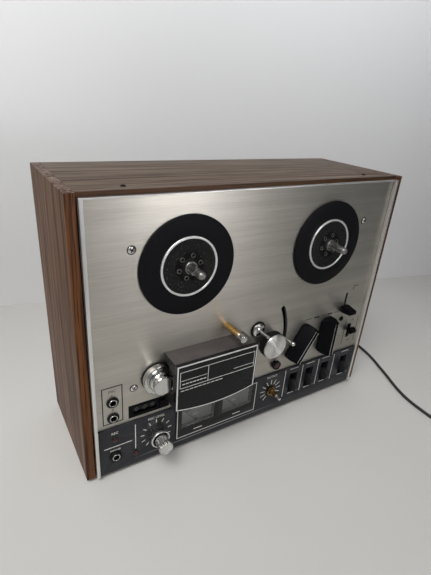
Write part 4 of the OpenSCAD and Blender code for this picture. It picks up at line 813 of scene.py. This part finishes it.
sleeve = fronted("brass_sleeve", [
    (2.1, -0.5), (3.4, -0.5), (3.4, 2.4), (3.9, 2.8), (4, 3.2), (4, 14.4), (3.5, 14.6), (3.5, 16.9),
    (4, 17.1), (4, 24.2), (3.8, 24.5), (2.1, 24.5), (2.1, -0.5)], POST, 48, closed=False)
belongs(sleeve, sleeve_brass, "case", "brass", "capstan_sleeve")
rod = fronted("post_rod", [
    (2, -8.5), (2, 24.5), (4.1, 24.5), (4.3, 24.8), (4.3, 26.4), (4.1, 26.7), (4.1, 27.4), (4.3, 27.7),
    (4.3, 32.6), (4.0, 33.4), (3.2, 33.9), (1.5, 34)], POST, 48)
axle = fronted("roller_axle", [(2.5, -2.5), (2.5, 13), (2.1, 13.4)], ROLLER, 32)
belongs(joined("deck_pins", [rod, axle]), cap_silver, "case", "chrome", "deck_posts")
ferrule = fronted("shutoff_tip", [
    (1.55, 1), (1.62, 1.1), (1.62, 13.6), (2.1, 14.2), (2.72, 15.5), (2.8, 16.4), (2.62, 17.6), (2.0, 18.5),
    (1.0, 19.0), (0.4, 19.1)], at(48.13, 112.55), 32)
belongs(ferrule, chrome, "shutoff_arm", "chrome")

# TRANSPORT LEVERS AND PAUSE SLIDER
# Two moulded black bar knobs turn on steel shafts: a broad foot rises to a narrow ridge with two silver
# lines. The pause control is a small wedge that slides in a slot.
lever_black = dull_finish(
    "lever_black", (0.002, 0.002, 0.003), (0.004, 0.004, 0.005), 0.02, 50, (0.36, 0.5), 0.12, sheen=0.06)
LEVER_Z, LEVER_OUT = 98.7, 16.95
LINE_SHIFT, LINE_W, LINE_LONG = 2.7, 0.7, 46.5
for name, x, tilt in [("search_lever", 75.3, 30), ("play_lever", 121.5, 0)]:
    belongs(eased_copy(name, name + "_bar", 1.1, 3, 20), lever_black, name, "plastic_black", name)
    lean = math.radians(tilt)
    lines = []
    for shift in (-LINE_SHIFT, LINE_SHIFT):
        spot = (x + shift * math.cos(lean), LEVER_Z - shift * math.sin(lean))
        lines.append((*spot, LINE_W, LINE_LONG, tilt))
    printed(name + "_lines", lines, LEVER_OUT, frame_bright, name, "trim_bright", 0.12)
wedge = eased_copy("pause_slider", "pause_wedge", 0.7, 3)
belongs(wedge, lever_black, "pause_slider", "plastic_black", "pause_slider")

# SWITCHES, RECORD BUTTON AND SOCKETS
# A small lever in a slot of the deck switches the mains, and four grey discs in black wells of the panel
# are the selectors. The record button has a red inlay, and the sockets have black nuts with a plated rim.
disc_grey = dull_finish(
    "disc_grey", (0.013, 0.013, 0.014), (0.024, 0.024, 0.026), 0.07, 90, (0.32, 0.46), 0.1, sheen=0.25)
tips = [("power_lever", lever_black)] + [("selector_lever_%d" % i, disc_grey) for i in (1, 2, 3, 4)]
for name, plastic in tips:
    belongs(eased_copy(name, name + "_tip", 0.8, 3), plastic, name, "plastic_black", name)
dress(base_black, "panel_switches")
red_inlay = dull_finish(
    "red_inlay", (0.038, 0.006, 0.006), (0.072, 0.011, 0.010), (0.10, 0.04, 0.04), 120, (0.3, 0.45))
RECORD = at(40.1, 74.5)
button = fronted("record_cap", [
    (4, -11.5), (4, 0.7), (5.8, 0.7), (6, 0.9), (6, 4.0), (5.7, 4.4), (5.2, 4.5), (4.2, 4.5), (4, 4.3),
    (4, 3.8)], RECORD, 48)
belongs(button, base_black, "record_button", "plastic_black", "record_button")
inlay = fronted("record_inlay", [(3.8, 3.7), (3.9, 3.9), (3.4, 4.2), (1, 4.35)], RECORD, 40)
belongs(inlay, red_inlay, "record_button", "lamp_red")
PANEL = 2.0
shell = [(3.25, -22), (5, -24), (5, 0), (6.1, 0), (6.3, 0.3), (6.3, 1.4), (6.0, 1.8), (4.3, 1.85),
         (4.25, 1.2), (3.25, 1.2), (3.25, -22)]
lip = [(3.22, 1.2), (4.2, 1.2), (4.2, 2.3), (4.0, 2.55), (3.5, 2.6), (3.22, 2.4), (3.22, 1.2)]
nuts, rims = [], []
for spot in (at(-171.7, 74, DECK), at(-171.7, 94, DECK), at(-171.3, 22.3, PANEL)):
    nuts.append(fronted("nut", shell, spot, 48, closed=False))
    rims.append(fronted("rim", lip, spot, 48, closed=False))
belongs(joined("socket_nuts", nuts), base_black, "case", "socket_metal", "jack_sockets")
belongs(joined("socket_rims", rims), cap_silver, "case", "socket_metal")

# TAPE COUNTER
# A black moulded housing fills an opening near the deck's lower edge. Three number wheels turn behind
# its window, with a reset key beside them.
ink_faint = dull_finish("ink_faint", 0.07, 0.12, 0.1, 60, (0.5, 0.6))
number_black = dull_finish(
    "number_black", (0.006, 0.006, 0.007), (0.012, 0.012, 0.013), 0.05, 100, (0.4, 0.5), sheen=0.3)
housing = eased_copy("tape_counter", "counter_housing", 0.25)
belongs(housing, lever_black, "case", "plastic_black", "tape_counter")
dress(number_black, "counter_wheel_1", "counter_wheel_2", "counter_wheel_3")
reset = eased_copy("counter_reset", "reset_key", 0.8, 3)
belongs(reset, lever_black, "counter_reset", "plastic_black", "counter_reset")


def lettered(words, size, place, turn=OUTWARD, thick=0.04):
    """Printed letters or figures in one flat piece, centred on their place."""
    pick()
    bpy.ops.object.text_add()
    piece = bpy.context.object
    piece.data.body = words
    piece.data.size = size * MM
    piece.data.align_x = "CENTER"
    piece.data.align_y = "CENTER"
    piece.data.extrude = thick * MM
    piece.data.resolution_u = 3
    bpy.ops.object.convert(target="MESH")
    return settle(piece, place, turn)


COUNTER = at(-136.7, 73.55, -8.5)
WHEEL_PITCH, FIGURE_R, FIGURE_STEP = 9.2, 6.32, 36
for wheel in (1, 2, 3):
    figures = []
    for figure in range(10):
        turn = FIGURE_STEP * figure
        angle = math.radians(turn)
        offset = Vector((WHEEL_PITCH * (wheel - 2), -FIGURE_R * math.cos(angle), FIGURE_R * math.sin(angle)))
        figures.append(lettered(str(figure), 6.4, COUNTER + offset, (90 - turn, 0, 0)))
    figures = joined("counter_figures_%d" % wheel, figures)
    belongs(figures, ink_faint, "counter_wheel_%d" % wheel, "needle_white")

# CONTROL PANEL AND PRINT
# A folded steel panel in satin black paint runs along the foot of the deck, with a painted highlight along
# its lip. White rules part its sections, with marks round the two controls; the deck carries its own thin
# black print.
PANEL_BLACK = (0.014, 0.015, 0.019)
panel_paint = dull_finish(
    "panel_paint", PANEL_BLACK, (0.022, 0.023, 0.028), 0.07, 28, (0.36, 0.5), 0.05, sheen=0.3)
ink_black = dull_finish("ink_black", 0.006, 0.014, 0.05, 80, (0.45, 0.6))
panel = eased_copy("control_panel", "folded_panel", 0.5)
belongs(panel, panel_paint, "case", "panel_black", "control_panel")


def tick(x, z, reach, lean, width, height):
    """A bar for printed rules that stands off a middle by its reach, at an angle from upright."""
    turn = math.radians(lean)
    return x + reach * math.sin(turn), z + reach * math.cos(turn), width, height, lean


def worded(name, rows, out, ink, slot):
    """Printed words (word, size, x, z) on a plate, in one piece."""
    words = [lettered(word, size, at(x, z, out)) for word, size, x, z in rows]
    return belongs(joined(name, words), ink, "case", slot)


SELECTORS = [74.3, 103.3, 132.3, 169.8]
LEVEL, OUTPUT = (-124.6, 35.6), (36.7, 35.6)
INK = 0.05
rules = [(-168.25, 36.5, 30.3, 0.9), (-148.9, 40, 0.9, 34)]
rules += [(x, 38, 0.9, 42.8) for x in (59.4, 89.7, 119.1, 149.0)]
rules += [(x, 58.8, 15, 0.8) for x in SELECTORS] + [(x, 18.6, 11, 0.8) for x in SELECTORS]
for middle, near, far in [(LEVEL, 14.2, 18.5), (OUTPUT, 9.5, 16.5)]:
    rules += [tick(*middle, (near + far) / 2, -140 + 28 * i, 0.9, far - near) for i in range(11)]
printed("panel_rules", rules, PANEL, ink_white)
# The lip carries a painted highlight: a grey tone (bare) near the middle that fades into the black paint to
# each side.
HIGHLIGHT_X = -0.05
lip_highlight, tree, shader = new_material("lip_highlight", 0.45)
smudge = use_effect(tree, handling, Size=60.0)["Smudge"]
across = maths(tree, "SUBTRACT", along_axis(tree, "TexCoord", "Object", "X"), HIGHLIGHT_X)
off_highlight = spread(tree, maths(tree, "ABSOLUTE", across), 0.035, 0.10, 0.0, 0.93)
bare = mix_colours(tree, smudge, 0.20, 0.34)
feed(tree, shader, {"Base Color": mix_colours(tree, off_highlight, bare, PANEL_BLACK)})
printed("panel_lip", [(19, 9.4, 338, 0.9)], PANEL, lip_highlight, slot="panel_black", thick=0.3)
worded("panel_words", [
    ("REC", 4.2, -171.4, 54.5), ("PHONES", 3.0, -171.4, 31.4), ("REC LEVEL", 4.2, -124.6, 57.2),
    ("OUTPUT", 4.2, 36.7, 57.2)], PANEL + INK, ink_white, "needle_white")
deck_marks = outline(-182, -161.5, 67.2, 112.7, 1.1)
deck_marks += [(x, 129, w, h) for x, w, h in [
    (86, 12, 0.8), (100, 9, 2.0), (113, 7, 0.8), (124, 9, 2.0), (134, 6, 0.8)]]
deck_marks += [(160, 160, 1.0, 6), (164, 163, 8, 0.9), (160.6, 92, 0.9, 40), (184.5, 92, 0.9, 40)]
printed("deck_marks", deck_marks, DECK, ink_black, slot="panel_black")
worded("deck_words", [
    ("MIC", 4.6, -171.7, 107.3), ("L", 3.2, -171.7, 101.8), ("R", 3.2, -171.7, 83.8),
    ("ON", 3.4, 172.5, 108.5), ("OFF", 3.4, 172.5, 75.5), ("REC", 3.0, 40.1, 84.3)],
    DECK + INK, ink_black, "panel_black")

# LAMPS, LEVEL KNOBS AND OUTPUT CONTROL
# Dark red lenses sit above and beside the headphone socket. Two fluted aluminium knobs turn one inside the
# other on a shared control; the second control shows its bare brass bush and shafts.
lens_red = dull_finish(
    "lens_red", (0.022, 0.004, 0.005), (0.050, 0.007, 0.008), (0.12, 0.05, 0.05), 150, (0.18, 0.3))
lenses = [fronted("lens", [
    (2.6, -10), (2.6, 2), (3.0, 2), (3.2, 2.2), (3.15, 2.7), (2.6, 3.4), (1.6, 3.85), (0.5, 4)], spot, 32)
    for spot in (at(-171.3, 45.8), at(-148.8, 16.3))]
belongs(joined("lamp_lenses", lenses), lens_red, "case", "lamp_red", "indicator_lamps")
knob_silver = bare_metal(
    "knob_silver", (0.60, 0.595, 0.58), (0.82, 0.815, 0.80), (60, 60, 60), (0.2, 0.34), 0.03)
control_brass = bare_metal(
    "control_brass", (0.09, 0.055, 0.02), (0.30, 0.20, 0.08), (60, 200, 60), (0.18, 0.32), 0.1)


def fluted(piece, count, deep, start, end):
    """Cuts rounded flutes into the wall of a turned knob, between two heights in mm."""
    for v in piece.data.vertices:
        reach = math.hypot(v.co.x, v.co.y) / MM
        if start < v.co.z / MM < end and reach > 2 * deep + 4:
            wave = 0.5 - 0.5 * math.cos(count * math.atan2(v.co.y, v.co.x))
            shrink = 1 - deep * wave / reach
            v.co.x *= shrink
            v.co.y *= shrink
    return piece


KNOB_SIDES = 168
collar = turned("level_collar", [
    (2.06, -15), (3, -15), (3, 8.6), (8, 8.6), (8, 2.4), (10.4, 2.4), (10.4, 11.6), (10.5, 11.8), (10.9, 12),
    (10.9, 14.2), (10.5, 14.7), (9.6, 14.8), (9.2, 14.5), (9.1, 13.6), (2.06, 13.6), (2.06, -15)],
    KNOB_SIDES, closed=False)
settle(fluted(collar, 21, 1.1, 2.5, 11.7), at(*LEVEL), OUTWARD)
belongs(collar, knob_silver, "level_knob_outer", "knob_aluminium", "level_knob_outer")
pit = fronted("level_pit", [(2.1, 13.65), (9.0, 13.65), (9.0, 13.8), (2.1, 13.8)], at(*LEVEL))
belongs(pit, base_black, "level_knob_outer", "plastic_black")
stalk = turned("level_stalk", [
    (2, -15), (2, 15.2), (6.8, 15.2), (7.3, 15.6), (7.3, 23.5), (7.6, 24), (8.2, 24.4), (8.2, 28.4),
    (7.9, 29), (7.2, 29.4), (6.6, 29.4), (6.2, 29.1), (0.8, 29)], KNOB_SIDES)
settle(fluted(stalk, 12, 1.2, 15.4, 29.3), at(*LEVEL), OUTWARD)
belongs(stalk, knob_silver, "level_knob_inner", "knob_aluminium", "level_knob_inner")
belongs(eased_copy("dual_pots", "control_bushes", 0.3), control_brass, "case", "brass", "dual_pots")
for name, metal in [("output_shaft_outer", control_brass), ("output_shaft_inner", knob_silver)]:
    belongs(eased_copy(name, name + "_bare", 0.2), metal, name, "brass", name)
dress(sleeve_brass, "motor_pulley")

# LEVEL METERS
# Two moving-coil meters sit behind a black panel with a white outline. Each has a grey scale plate with
# faint marks, a dark needle and a clear window.
meter_black = dull_finish(
    "meter_black", (0.006, 0.006, 0.007), (0.012, 0.012, 0.013), 0.06, 40, (0.34, 0.48), sheen=0.3)
plate_grey = dull_finish("plate_grey", (0.23, 0.235, 0.24), (0.32, 0.325, 0.33), 0.35, 60, (0.5, 0.6))
needle_ink = dull_finish("needle_ink", 0.05, 0.08, 0.1, 200, (0.4, 0.5))
window_glass, tree, shader = new_material("window_glass", 0.06, Transmission_Weight=1.0, IOR=1.46)
smudge = use_effect(tree, handling, Size=40.0)["Smudge"]
feed(tree, shader, {
    "Base Color": mix_colours(tree, smudge, (0.86, 0.87, 0.87), (0.95, 0.96, 0.96)),
    "Roughness": spread(tree, smudge, 0.4, 0.7, 0.03, 0.14)})
dress(window_glass, "meter_glasses")
dress(meter_black, "meter_bodies")
dress(needle_ink, "meter_needle_left", "meter_needle_right")
belongs(eased_copy("meter_panel", "meter_bezel", 0.5), meter_black, "case", "plastic_black", "meter_panel")
METERS = [-72.1, -17.1]
PIVOT_Z, BEZEL, SCALE, SCALE_T = 29.4, 4.0, -4.45, 0.3
plates, scale_marks = [], []
for x in METERS:
    plates.append(block((45.6, SCALE_T, 29.6), at(x, 41.4, SCALE - SCALE_T / 2), ease=0.1))
    for i in range(11):
        reach, height = (18.5, 2.2) if i % 5 else (19.2, 3.6)
        scale_marks.append(tick(x, PIVOT_Z, reach, -40 + 8 * i, 0.45, height))
    scale_marks += [tick(x, PIVOT_Z, 17, lean, 2.5, 0.4) for lean in range(-40, 41, 8)]
belongs(joined("scale_plates", plates), plate_grey, "case", "plastic_black")
worded("scale_words", [("VU", 5.0, x, 36.2) for x in METERS], SCALE + INK, ink_white, "needle_white")
printed("scale_marks", scale_marks, SCALE, ink_faint)
meter_rules = outline(-99.6, 10.4, 15.8, 58.4, 0.9) + [(x, 21.5, 11, 1.2) for x in METERS]
printed("meter_rules", meter_rules, BEZEL, ink_white)
